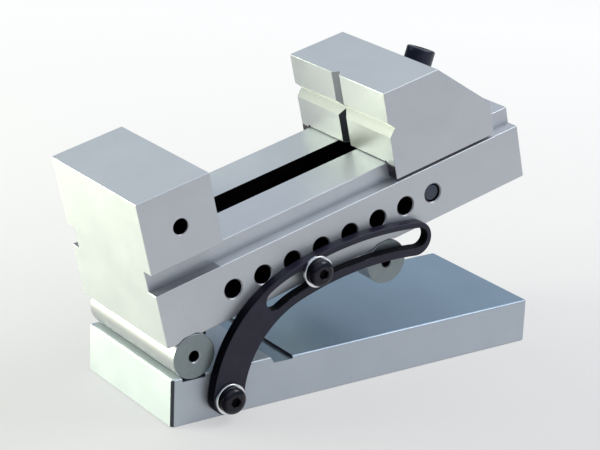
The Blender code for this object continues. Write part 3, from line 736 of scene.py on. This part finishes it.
# The notches in the underside that seat the rolls
def cutNotches(body, setup):
    crown, height = setup["notchCrown"], setup["notchHeight"]
    foot = setup["notchFoot"] + (setup["notchFoot"] - crown) / height * overrun
    for centre in (0, rollSpan):
        cut(body, plateShape([
            (centre - foot, up(-overrun)),
            (centre + foot, up(-overrun)),
            (centre + crown, up(height)),
            (centre - crown, up(height)),
        ], -halfWidth - overrun, halfWidth + overrun), viseMatrix, groundSteel)


# The cross holes, the tapped holes in the fixed jaw's sides and the lock screw's hole
def cutHoles(body, setup):
    radius, chamfer, half = setup["holeRadius"], setup["holeChamfer"], halfWidth
    wide = radius + chamfer
    through = [
        (wide + overrun, half + overrun), (wide, half), (radius, half - chamfer),
        (radius, chamfer - half), (wide, -half), (wide + overrun, -half - overrun),
    ]
    # Hole rims and bores take painted shade
    for i in range(setup["holeCount"]):
        place = at(along(setup["firstHole"] + i * setup["holePitch"]), 0, up(setup["holeHeight"]))
        cut(body, turnedShape(through, holeSteps, dark=(2,)), viseMatrix @ place @ alongY,
            shadedRimSteel, boreShadeBlack)
    tapped = tappedProfile(setup["jawHole"], gap, setup["threadPitch"], setup["threadDepth"],
                           -setup["jawHoleDepth"])
    threads = range(3, len(tapped))
    for side in (-1, 1):
        place = at(along(setup["jaw"] / 2), side * half, up(setup["jawHoleRise"]))
        cut(body, turnedShape(tapped, holeSteps, dark=threads),
            viseMatrix @ place @ endTurn(side), shadedRimSteel, boreShadeBlack)
    place = at(along(setup["lockPlace"]), -half, up(setup["lockHeight"]))
    cut(body, rodShape(setup["lockHole"], overrun, -setup["lockDepth"], holeSteps),
        viseMatrix @ place @ alongY, boreShadeBlack)


makeBody(bodySetup)
print("body made")

# Movable jaw, and what is stacked under its screw's head
jawSetup = {
    "face": 0.123, "length": 0.0541, "topLength": 0.0292, "endHeight": 0.0416, "skirt": 0.0263,
    "edge": 0.0004, "level": (0.0068, 0.003), "upright": (0.0059, 0.0027), "relief": 0.0009,
    "passage": 0.005, "passageEnd": 0.0185, "pocket": 0.00875, "pocketTop": 0.008,
    "screwLean": math.radians(31), "screwLift": 0.0007,
}
washerSetup = {
    "bore": 0.0044, "rim": 0.0075, "edge": 0.001, "dish": 0.0016, "seatBore": 0.0048,
    "seatRim": 0.00825, "seatFloor": 0.0009, "round": 0.0002, "steps": 96, "dishSteps": 8,
}
screwMatrix = viseMatrix @ at(*pinPlace) @ leaning(jawSetup["screwLean"])


# Heights on the screw's axis above the pin
def stackHeights(jaw, washer):
    normal = Vector((bodySetup["height"] - jaw["endHeight"], 0, jaw["length"] - jaw["topLength"]))
    point = Vector((jaw["face"] + jaw["length"] - lastHole, 0,
                    jaw["endHeight"] - bodySetup["holeHeight"]))
    axis = Vector((math.sin(jaw["screwLean"]), 0, math.cos(jaw["screwLean"])))
    head = point.dot(normal) / axis.dot(normal) + jaw["screwLift"]
    top = head - gap
    ring = top - washer["edge"] - gap
    pocket = ring - washer["dish"] - washer["seatFloor"] - gap
    return {"head": head, "washer": top, "ring": ring, "pocket": pocket}


stack = stackHeights(jawSetup, washerSetup)


def makeJaw(setup):
    face, far, half = along(setup["face"]), along(setup["face"] + setup["length"]), halfWidth
    outline = [
        (face, up(setup["skirt"])),
        (far, up(setup["skirt"])),
        (far, up(setup["endHeight"])),
        (face + setup["topLength"], up(bodySetup["height"])),
        (face, up(bodySetup["height"])),
    ]
    jaw = addPiece("movableJaw", plateShape(outline, -half, half), viseMatrix, jawSteel, boreShadeBlack)
    channel = half - bodySetup["groove"] + gap
    sole = bodySetup["bed"] + gap
    cut(jaw, boxShape(
        (face - overrun, -channel, up(setup["skirt"] - overrun)),
        (far + overrun, channel, up(sole)),
    ), viseMatrix, jawSteel)
    roundEdges(jaw, setup["edge"])
    # The vees take painted shade in their recess, near black on the upright one's lower half
    width, depth = setup["level"]
    rise = width / 2 * (1 + overrun / depth)
    middle = up(bodySetup["jawHoleRise"])
    cut(jaw, plateShape([
        (face - overrun, middle - rise), (face + depth, middle), (face - overrun, middle + rise),
    ], -half - overrun, half + overrun), viseMatrix, shadedVeeSteel)
    width, depth = setup["upright"]
    spread = width / 2 * (1 + overrun / depth)
    plan = [(face - overrun, spread), (face + depth, 0), (face - overrun, -spread)]
    cut(jaw, planShape(plan, middle, up(bodySetup["height"] + overrun)), viseMatrix, shadedVeeSteel)
    cut(jaw, planShape(plan, up(sole - overrun), middle), viseMatrix, shadedCornerSteel)
    relief = setup["relief"]
    for side in (-1, 1):
        place = at(face, side * (channel - relief / 2), up(sole))
        cut(jaw, rodShape(relief, setup["length"] + overrun, -overrun, reliefSteps),
            viseMatrix @ place @ leaning(quarter), boreShadeBlack)
    cut(jaw, turnedShape([
        (setup["pocket"], stack["head"] + setup["pocketTop"]), (setup["pocket"], stack["pocket"]),
        (setup["passage"], stack["pocket"]), (setup["passage"], setup["passageEnd"]),
    ], holeSteps), screwMatrix, boreShadeBlack)
    settle(jaw, "movable_jaw", "jaw")


makeJaw(jawSetup)
print("jaw made")

# Base plate, and the places of the arm's two screws
baseSetup = {
    "half": 0.095, "top": 0.020, "raised": 0.0215, "trough": 0.0186, "raisedLength": 0.0486,
    "ramp": 0.0017, "troughEnd": 0.0600, "hinge": viseFrame["hinge"][0], "groove": 0.0056,
    "corner": 0.0012, "rim": 0.001, "foot": 0.0003, "linkHole": (-0.0643, 0.0023, 0.009),
    "pivot": (-0.0703, 0.0, 0.01015), "pivotHole": (0.0033, 0.014),
}
pivotPlace = Vector(baseSetup["pivot"])
lockPlace = viseMatrix @ Vector((along(bodySetup["lockPlace"]), 0, up(bodySetup["lockHeight"])))


def makeBase(setup):
    end, top, raised, trough = -setup["half"], setup["top"], setup["raised"], setup["trough"]
    hinge, groove = setup["hinge"], setup["groove"]
    outline = [
        (end, 0), (-end, 0), (-end, top),
        (end + setup["troughEnd"], top),
        (end + setup["troughEnd"], trough),
        (end + setup["raisedLength"] + setup["ramp"], trough),
        (end + setup["raisedLength"], raised),
        (hinge + groove, raised),
        (hinge + groove, top - gap),
        (hinge - groove, top - gap),
        (hinge - groove, raised),
        (end, raised),
    ]
    base = addPiece("basePlate", plateShape(outline, -halfWidth, halfWidth), Matrix.Identity(4),
                    baseSteel, shadedCornerSteel)
    # Walls that look to -X inside the base take the near-black painted shade
    for face in base.data.polygons:
        if face.normal.x < -facingLimit and end + gap < face.center.x:
            face.material_index = 1

    def atEnd(edge, place):
        a, b = (v.co for v in edge.verts)
        level = abs(a.x - b.x) < close and abs(a.y - b.y) < close
        return level and abs(a.x - place) < close

    def onRim(edge):
        a, b = (v.co for v in edge.verts)
        middle = (a + b) / 2
        outer = abs(middle.x) > setup["half"] - setup["corner"]
        beside = abs(middle.y) > halfWidth - setup["corner"]
        return min(a.z, b.z) > top - close and (outer or beside)

    def atFoot(edge):
        return max(v.co.z for v in edge.verts) < close

    # The left end's chamfers and the foot's edge line take the near-black painted shade
    roundEdges(base, setup["corner"], 1, lambda edge: atEnd(edge, end), 1)
    roundEdges(base, setup["corner"], 4, lambda edge: atEnd(edge, -end))
    roundEdges(base, setup["rim"], 3, onRim)
    roundEdges(base, setup["foot"], 1, atFoot, 1)
    x, radius, depth = setup["linkHole"]
    cut(base, rodShape(radius, overrun, -depth, drillSteps), at(x, 0, raised), boreShadeBlack)
    radius, depth = setup["pivotHole"]
    cut(base, rodShape(radius, overrun, -depth, drillSteps),
        Matrix.Translation(pivotPlace) @ at(0, -halfWidth, 0) @ alongY, boreShadeBlack)
    settle(base, "base_plate", "base")


makeBase(baseSetup)
print("base made")

# Rolls: turned, with rounded rims, drilled ends and a stepped hole for each screw
rollSetup = {
    "radius": 0.010, "rim": 0.0005, "steps": 144,
    "hole": 0.0025, "holeDepth": 0.012, "holeRim": 0.0004, "holePoint": 0.0002,
    "screwAt": 0.023, "passage": 0.0028, "seat": 0.00455, "seatDrop": 0.004,
    "bore": 0.0023, "slotRadius": 0.0057, "slotHalf": 0.0043, "slotTurn": math.radians(22.5),
}


def makeRoll(name, centre, material, setup):
    radius, hole, depth = setup["radius"], setup["hole"], setup["holeDepth"]
    place = viseMatrix @ at(centre, 0, 0)
    profile = rodProfile(radius, halfWidth, setup["rim"])
    roll = addPiece(name, turnedShape(profile, setup["steps"]), place @ alongY, material, boreShadeBlack)
    wide = hole + setup["holeRim"]
    drill = [
        (wide + overrun, overrun), (wide, 0), (hole, -setup["holeRim"]), (hole, -depth),
        (setup["holePoint"], -depth - hole / 2),
    ]
    stepped = [
        (setup["passage"], radius + overrun), (setup["passage"], -setup["seatDrop"]),
        (setup["seat"], -setup["seatDrop"]), (setup["seat"], -radius - overrun),
    ]
    for side in (-1, 1):
        cut(roll, turnedShape(drill, holeSteps, dark=(2, 3)),
            place @ at(0, side * halfWidth, 0) @ endTurn(side), material, boreShadeBlack)
        cut(roll, turnedShape(stepped, drillSteps), place @ at(0, side * setup["screwAt"], 0),
            material)
    return roll


# The hinge roll's bore for its axle, and the slot for the link's eye
def cutHinge(roll, setup):
    reach = halfWidth - setup["holeDepth"] / 2
    cut(roll, rodShape(setup["bore"], reach, -reach, drillSteps), viseMatrix @ alongY, boreShadeBlack)
    side, past = setup["slotRadius"], setup["radius"] + overrun
    slot = arcPoints((0, 0), side, quarter, 3 * quarter, slotSteps) + [(past, -side), (past, side)]
    cut(roll, plateShape(slot, -setup["slotHalf"], setup["slotHalf"]),
        viseMatrix @ leaning(setup["slotTurn"]), hingeRollSteel)


hingeRoll = makeRoll("hingeRoll", 0.0, hingeRollSteel, rollSetup)
cutHinge(hingeRoll, rollSetup)
settle(hingeRoll, "hinge_roll", "vise")
sineRoll = makeRoll("sineRoll", rollSpan, sineRollSteel, rollSetup)
settle(sineRoll, "sine_roll", "vise")

# Cross pin in the last hole
pinSetup = {"radius": 0.0038, "half": 0.034, "rim": 0.0006, "steps": 72}
pinSteel = makeTurned("pinSteel", pinFinish, pinPlace)


def makePin(setup):
    profile = rodProfile(setup["radius"], setup["half"], setup["rim"])
    pin = addPiece("crossPin", turnedShape(profile, setup["steps"]),
                   viseMatrix @ at(*pinPlace) @ alongY, pinSteel)
    settle(pin, "cross_pin", "pin")


makePin(pinSetup)
print("rolls and pin made")

# Clamping screw: knurled head, hexagon socket and a real thread
clampSetup = {
    "head": 0.0065, "height": 0.008, "round": 0.0009, "knurls": 36, "knurl": 0.00012,
    "foot": 0.0006, "footIn": 0.0004, "neckEnd": 0.0008,
    "thread": 0.004, "pitch": 0.00125, "depth": 0.00075, "length": 0.040, "threadStart": 0.001,
    "threadRest": 0.0018, "rows": 6, "point": 0.0004, "pointIn": 0.0012, "steps": 108,
    "key": 0.006, "keyDepth": 0.004, "keyPoint": 0.001, "keyRim": 0.0004,
}
# Radii of a socket's mouth: shares of its rim, of the hexagon's corner and of its flats
mouthShares = {"rim": 0.6, "throat": 0.9, "middle": 0.4, "tip": 0.1}


def zigzag(turns):
    return abs(turns % 1 - 0.5) * 2


def makeClampScrew(setup):
    head, height, size, length = (setup[key] for key in ("head", "height", "round", "length"))
    thread, pitch, root = setup["thread"], setup["pitch"], setup["thread"] - setup["depth"]

    def knurled(angle, z):
        return head - setup["knurl"] * zigzag(angle * setup["knurls"] / (2 * math.pi))

    def threaded(angle, z):
        return thread - setup["depth"] * zigzag(z / pitch + angle / (2 * math.pi))

    profile = corner(head - size, height - size, size, 90, 15, 5)
    profile += [(knurled, height - size), (knurled, setup["foot"]), (head - setup["footIn"], 0.0)]
    profile += [(root, 0.0), (root, -setup["neckEnd"])]
    for i in range(round((length - setup["threadRest"]) / pitch * setup["rows"])):
        profile.append((threaded, -setup["threadStart"] - i * pitch / setup["rows"]))
    profile += [(root, setup["point"] - length), (thread - setup["pointIn"], -length)]
    matrix = screwMatrix @ at(0, 0, stack["head"])
    screw = addPiece("clampScrew", turnedShape(profile, setup["steps"]), matrix,
                     clampBlack, boreShadeBlack)
    cutSocket(screw, matrix @ at(0, 0, height), setup)
    settle(screw, "clamp_screw", "clamp")


# A hexagon socket with a countersunk mouth, below a face at the matrix's origin
def cutSocket(screw, matrix, setup, shares=mouthShares):
    flats, rim, depth = setup["key"], setup["keyRim"], setup["keyDepth"]
    point = flats / math.sqrt(3)
    cut(screw, turnedShape([
        (point + rim + overrun, overrun), (point + rim * shares["rim"], 0),
        (point * shares["throat"], -rim), (flats * shares["middle"], -rim),
    ], drillSteps), matrix, blackScrew)
    cut(screw, turnedShape([
        (point, overrun), (point, -depth), (flats * shares["tip"], -depth - setup["keyPoint"]),
    ], 6), matrix, socketShade)


makeClampScrew(clampSetup)


# Spherical washer and its seat ring
def makeSphericalPair(setup):
    bore, rim, edge, size = (setup[key] for key in ("bore", "rim", "edge", "round"))
    top, ring, floor = stack["washer"], stack["ring"], stack["pocket"] + gap
    inner, outer, steps = setup["seatBore"], setup["seatRim"], setup["dishSteps"]

    def bowl(radius, height):
        share = (rim - radius) / (rim - bore)
        return (radius, height - setup["dish"] * math.sin(share * quarter))

    profile = [(bore, top)] + corner(rim - size, top - size, size, 90, 0) + [(rim, top - edge)]
    for i in range(1, steps + 1):
        profile.append(bowl(rim - (rim - bore) * i / steps, top - edge))
    cup = [bowl(inner + (rim - inner) * i / steps, ring) for i in range(steps + 1)]
    cup += corner(outer - size, ring - size, size, 90, 0) + [(outer, floor), (inner, floor)]
    for name, node, points in (
        ("sphericalWasher", "spherical_washer", profile), ("sphericalSeat", "spherical_seat", cup),
    ):
        piece = addPiece(name, turnedShape(points, setup["steps"], True), screwMatrix, brightPlate)
        settle(piece, node, "jaw")


makeSphericalPair(washerSetup)
print("clamping screw and washers made")

# Lock arm: two arcs that meet at firstSweep, with their angles measured from the pivot's end
armSetup = {
    "back": -0.0353, "thickness": 0.005, "width": 0.0154, "slot": 0.0088,
    "firstRadius": 0.0506, "firstSweep": math.radians(65.6),
    "secondRadius": 0.1458, "secondSweep": math.radians(25.1),
    "slotLead": math.radians(13), "slotReach": math.radians(0.3), "slotShift": 0.00063,
    "slotPlay": 0.00075,
    "bore": 0.0051, "edge": 0.0005, "steps": 40, "capSteps": 28,
}


def outwardAt(swing):
    return Vector((-math.cos(swing), 0, math.sin(swing)))


def armCentre(setup):
    back = setup["firstRadius"] - setup["secondRadius"]
    return Vector((setup["firstRadius"], 0, 0)) + outwardAt(setup["firstSweep"]) * back


def armPoint(setup, swing, offset):
    if swing <= setup["firstSweep"]:
        centre, radius = Vector((setup["firstRadius"], 0, 0)), setup["firstRadius"]
    else:
        centre, radius = armCentre(setup), setup["secondRadius"]
    return centre + outwardAt(swing) * (radius + offset)


def armCap(setup, swing, half, shift):
    forward = Vector((math.sin(swing), 0, math.cos(swing)))
    points = []
    for i in range(1, setup["capSteps"]):
        angle = math.pi * i / setup["capSteps"]
        turned = outwardAt(swing) * math.cos(angle) + forward * math.sin(angle)
        points.append(armPoint(setup, swing, shift) + turned * half)
    return points


def armBand(setup, start, half, past=0.0, shift=0.0):
    first, steps = setup["firstSweep"], setup["steps"]
    end = first + setup["secondSweep"] + past
    swings = [start + (first - start) * i / steps for i in range(steps)]
    swings += [first + (end - first) * i / steps for i in range(steps + 1)]
    outer = [armPoint(setup, swing, shift + half) for swing in swings]
    inner = [armPoint(setup, swing, shift - half) for swing in reversed(swings)]
    points = outer + armCap(setup, end, half, shift)
    points += inner + armCap(setup, start, -half, shift)
    return [(point.x, point.z) for point in points]


# How far the arm leans back so that its slot takes the lock screw
def armTurn(setup, pivot, lock):
    reachTo = lock - pivot
    centre = armCentre(setup)
    ring = setup["secondRadius"] + setup["slotShift"] + setup["slotPlay"]
    apart, reach = math.hypot(reachTo.x, reachTo.z), centre.length
    cosine = (apart ** 2 + reach ** 2 - ring ** 2) / (2 * apart * reach)
    slotDirection = math.atan2(centre.z, centre.x) + math.acos(cosine)
    return math.atan2(reachTo.z, reachTo.x) - slotDirection


def onFaces(edge):
    a, b = (v.co for v in edge.verts)
    return abs(a.y - b.y) < close


def makeArm(setup):
    back, front = setup["back"], setup["back"] - setup["thickness"]
    turn = armTurn(setup, pivotPlace, lockPlace)
    matrix = Matrix.Translation(pivotPlace) @ leaning(-turn)
    outline = armBand(setup, 0, setup["width"] / 2)
    slot = armBand(setup, setup["firstSweep"] - setup["slotLead"], setup["slot"] / 2,
                   setup["slotReach"], setup["slotShift"])
    arm = addPiece("lockArm", plateShape(outline, front, back), matrix, blackenedArm)
    cut(arm, plateShape(slot, front - overrun, back + overrun), matrix, armHollowShade)
    roundEdges(arm, setup["edge"], 3, onFaces)
    cut(arm, rodShape(setup["bore"], setup["thickness"] + overrun, -overrun, holeSteps),
        Matrix.Translation(pivotPlace) @ at(0, back, 0) @ alongY, armHollowShade)
    settle(arm, "lock_arm", "arm")


makeArm(armSetup)

# Domed socket screws of the arm
domeSetup = {
    "head": 0.0059, "height": 0.0036, "edge": 0.0012, "crown": 0.003, "foot": 0.0002,
    "key": 0.004, "keyDepth": 0.0024, "keyPoint": 0.0006, "keyRim": 0.0003, "seat": -0.0424,
    "domeSteps": 12, "steps": 96,
}
pivotStem = {"radius": 0.003, "neck": 0.003, "start": 0.0076, "end": 0.0209, "pitch": 0.001}
lockStem = dict(pivotStem, neck=0.0024, start=0.0077, end=0.0189)
# Shares of a thread's pitch: the crest's two ends, the root's place and depth, the point's depth
threadShares = {"crest": (0.25, 0.5), "root": 0.9, "depth": 0.55, "point": 0.6}


def makeStem(radius, neck, start, end, pitch, shares=threadShares):
    stem = [(neck, 0), (neck, -start)]
    height = -start
    while height - pitch > -end:
        for share in shares["crest"]:
            stem.append((radius, height - pitch * share))
        stem.append((radius - pitch * shares["depth"], height - pitch * shares["root"]))
        height -= pitch
    return stem + [(radius - pitch * shares["point"], -end)]


# A screw from the profile of its head, with its seat at the matrix's origin
def makeScrew(name, node, body, matrix, head, stem, setup):
    foot = setup["foot"]
    profile = head + [(setup["head"], foot), (setup["head"] - foot, 0)] + stem
    screw = addPiece(name, turnedShape(profile, setup["steps"]), matrix, blackScrew, boreShadeBlack)
    cutSocket(screw, matrix @ at(0, 0, setup["height"]), setup)
    settle(screw, node, body)


def makeDomeScrew(name, node, body, place, stem, setup):
    crown, edge, steps = setup["crown"], setup["edge"], setup["domeSteps"]
    dome = []
    for i in range(steps + 1):
        angle = quarter * i / steps
        reach = crown + (setup["head"] - crown) * math.sin(angle)
        dome.append((reach, edge + (setup["height"] - edge) * math.cos(angle)))
    makeScrew(name, node, body, place @ at(0, setup["seat"], 0) @ alongY, dome, makeStem(**stem),
              setup)


pivotAt = Matrix.Translation(pivotPlace)
lockAt = Matrix.Translation(lockPlace) @ viseTurn
makeDomeScrew("armPivotScrew", "arm_pivot_screw", "arm_pivot", pivotAt, pivotStem, domeSetup)
makeDomeScrew("armLockScrew", "arm_lock_screw", "arm_lock", lockAt, lockStem, domeSetup)

# Washers of the arm's screws, and the bush in the arm's bore
plateWasher = {
    "inner": 0.0033, "outer": 0.007, "thickness": 0.0015, "round": 0.00035, "back": -0.0406,
    "foot": 0.0001, "steps": 96,
}
bushSetup = dict(plateWasher, outer=0.0048, thickness=0.005, round=0.0002, back=-0.0353)


def makeWasher(name, node, body, place, setup):
    inner, outer, size, foot = (setup[key] for key in ("inner", "outer", "round", "foot"))
    thick = setup["thickness"]
    profile = corner(inner + size, thick - size, size, 180, 90)
    profile += corner(outer - size, thick - size, size, 90, 0)
    profile += [(outer, foot), (outer - foot, 0), (inner, 0)]
    washer = addPiece(name, turnedShape(profile, setup["steps"], True),
                      place @ at(0, setup["back"], 0) @ alongY, brightPlate)
    settle(washer, node, body)


makeWasher("armPivotWasher", "arm_pivot_washer", "base", pivotAt, plateWasher)
makeWasher("armLockWasher", "arm_lock_washer", "vise", lockAt, plateWasher)
makeWasher("armPivotBush", "arm_pivot_bush", "base", pivotAt, bushSetup)
print("arm and its screws made")

# Socket screws in the rolls, which end just below the cross holes, and the hinge link's screw
rollScrewSetup = {
    "head": 0.00425, "height": 0.005, "edge": 0.0006, "foot": 0.0002, "steps": 64,
    "thread": 0.0025, "pitch": 0.0008, "neck": 0.85, "threadStart": 0.001,
    "seat": rollSetup["seatDrop"] + gap, "short": 0.0015,
    "key": 0.004, "keyDepth": 0.0025, "keyPoint": 0.0006, "keyRim": 0.0003,
}
holeFoot = up(bodySetup["holeHeight"] - bodySetup["holeRadius"])
rollScrewSetup["length"] = holeFoot - rollScrewSetup["short"] + rollScrewSetup["seat"]
linkScrewSetup = dict(
    rollScrewSetup, head=0.0035, height=0.004, edge=0.0005, thread=0.002, pitch=0.0007,
    key=0.003, keyDepth=0.002, length=0.012, seat=0.0256,
)


def makeSocketScrew(name, node, body, matrix, setup):
    edge, thread = setup["edge"], setup["thread"]
    head = corner(setup["head"] - edge, setup["height"] - edge, edge, 90, 0)
    stem = makeStem(thread, thread * setup["neck"], setup["threadStart"], setup["length"],
                    setup["pitch"])
    makeScrew(name, node, body, matrix, head, stem, setup)


upsideDown = Matrix.Rotation(math.pi, 4, "X")
for prefix, title, centre in (("hinge", "hingeRoll", 0.0), ("sine", "sineRoll", rollSpan)):
    for end, side in (("front", -1), ("back", 1)):
        place = at(centre, side * rollSetup["screwAt"], -rollScrewSetup["seat"])
        makeSocketScrew(title + "Screw" + end.capitalize(), prefix + "_roll_screw_" + end, "vise",
                        viseMatrix @ place @ upsideDown, rollScrewSetup)
makeSocketScrew("hingeLinkScrew", "hinge_link_screw", "base",
                at(baseSetup["linkHole"][0], 0, linkScrewSetup["seat"]), linkScrewSetup)
print("socket screws made")

# Floor: paler with the distance in the direction "across", and it keeps the piece's shadow
floorSetup = {
    "radius": 4.0,
    "steps": 96,
    "depth": -0.0001,
    "across": (0.576, 0.817, 0.0),
    "tones": [(-0.10, 0.700), (0.027, 0.755), (0.211, 0.850), (0.60, 0.985)],
    "tint": (0.985, 0.99, 1.0),
    "roughness": 0.8,
    "shine": 0.1,
    "glow": 0.62,
    "strength": 1.13,
}


def makeFloor(setup):
    mesh = bpy.data.meshes.new("floor")
    shape = bmesh.new()
    bmesh.ops.create_circle(shape, cap_ends=True, segments=setup["steps"], radius=setup["radius"])
    shape.to_mesh(mesh)
    shape.free()
    floor = bpy.data.objects.new("floor", mesh)
    floor.location.z = setup["depth"]
    scene.collection.objects.link(floor)
    material, tree, shader = newTree("paleFloor")
    place = plainCoordinates(tree)[0]
    distance = vectorNode(tree, "DOT_PRODUCT", place, setup["across"])["Value"]
    low, high = setup["tones"][0][0], setup["tones"][-1][0]
    ramp = addNode(tree, "ShaderNodeValToRGB", {0: remap(tree, distance, low, high)})
    stops = ramp.color_ramp.elements
    while len(stops) < len(setup["tones"]):
        stops.new(0.5)
    for stop, (where, tone) in zip(stops, setup["tones"]):
        stop.position = (where - low) / (high - low)
        stop.color = (*shaded(setup["tint"], tone), 1.0)
    colour = ramp.outputs[0]
    setInputs(tree, shader, {
        "Base Color": colour, "Roughness": setup["roughness"],
        "Specular IOR Level": setup["shine"],
    })
    inputs = {"Color": colour, "Strength": setup["strength"]}
    glow = addNode(tree, "ShaderNodeEmission", inputs).outputs[0]
    path = tree.nodes.new("ShaderNodeLightPath").outputs
    seen = mathNode(tree, "MAXIMUM", path["Is Camera Ray"], path["Is Glossy Ray"])
    seen = mathNode(tree, "MAXIMUM", seen, path["Is Transmission Ray"])
    share = mathNode(tree, "MULTIPLY", seen, setup["glow"])
    mix = addNode(tree, "ShaderNodeMixShader", {0: share, 1: shader.outputs[0], 2: glow})
    setInputs(tree, tree.nodes["Material Output"], {"Surface": mix.outputs[0]})
    mesh.materials.append(material)


makeFloor(floorSetup)

# World: pale room, with a cooler band low down that only shows in the metal
worldSetup = {
    "ambient": (0.60, 0.61, 0.63),
    "high": (0.80, 0.855, 0.915),
    "band": (0.225, 0.30, 0.385),
    "bandTop": 0.36,
    "bandBlend": 0.18,
    "seen": (0.97, 0.975, 0.985),
}


def makeWorld(setup):
    world = bpy.data.worlds.new("studio")
    world.use_nodes = True
    scene.world = world
    tree = world.node_tree
    place = tree.nodes.new("ShaderNodeTexCoord").outputs
    height = splitVector(tree, place["Generated"])[2]
    rise = remap(tree, height, setup["bandTop"], setup["bandTop"] + setup["bandBlend"],
                 kind="SMOOTHSTEP")
    mirrored = mixColour(tree, rise, setup["band"], setup["high"])
    path = tree.nodes.new("ShaderNodeLightPath").outputs
    glossy = mathNode(tree, "MAXIMUM", path["Is Glossy Ray"], path["Is Transmission Ray"])
    lit = mixColour(tree, glossy, setup["ambient"], mirrored)
    lit = mixColour(tree, path["Is Camera Ray"], lit, setup["seen"])
    setInputs(tree, tree.nodes["Background"], {"Color": lit})


makeWorld(worldSetup)

# Lamps
lamps = {
    "lampLeft": {
        "place": (-0.62, 0.42, 0.10), "size": (0.45, 0.22), "power": 10.0,
        "colour": (0.95, 1.0, 0.68), "aim": (-0.06, 0.0, 0.06),
    },
    "lampRight": {
        "place": (0.50, -0.34, 0.80), "size": (0.5, 0.5), "power": 3.2,
        "colour": (1.0, 1.0, 1.0), "aim": (0.0, 0.0, 0.05),
    },
}


def makeLamp(name, setup):
    data = bpy.data.lights.new(name, "AREA")
    data.shape = "RECTANGLE"
    data.size, data.size_y = setup["size"]
    data.energy = setup["power"]
    data.color = setup["colour"]
    lamp = bpy.data.objects.new(name, data)
    lamp.location = setup["place"]
    towards = Vector(setup["aim"]) - Vector(setup["place"])
    lamp.rotation_euler = towards.to_track_quat("-Z", "Y").to_euler()
    lamp.visible_camera = False
    scene.collection.objects.link(lamp)


for lampName, lampSetup in lamps.items():
    makeLamp(lampName, lampSetup)
print("floor, world and lamps set")
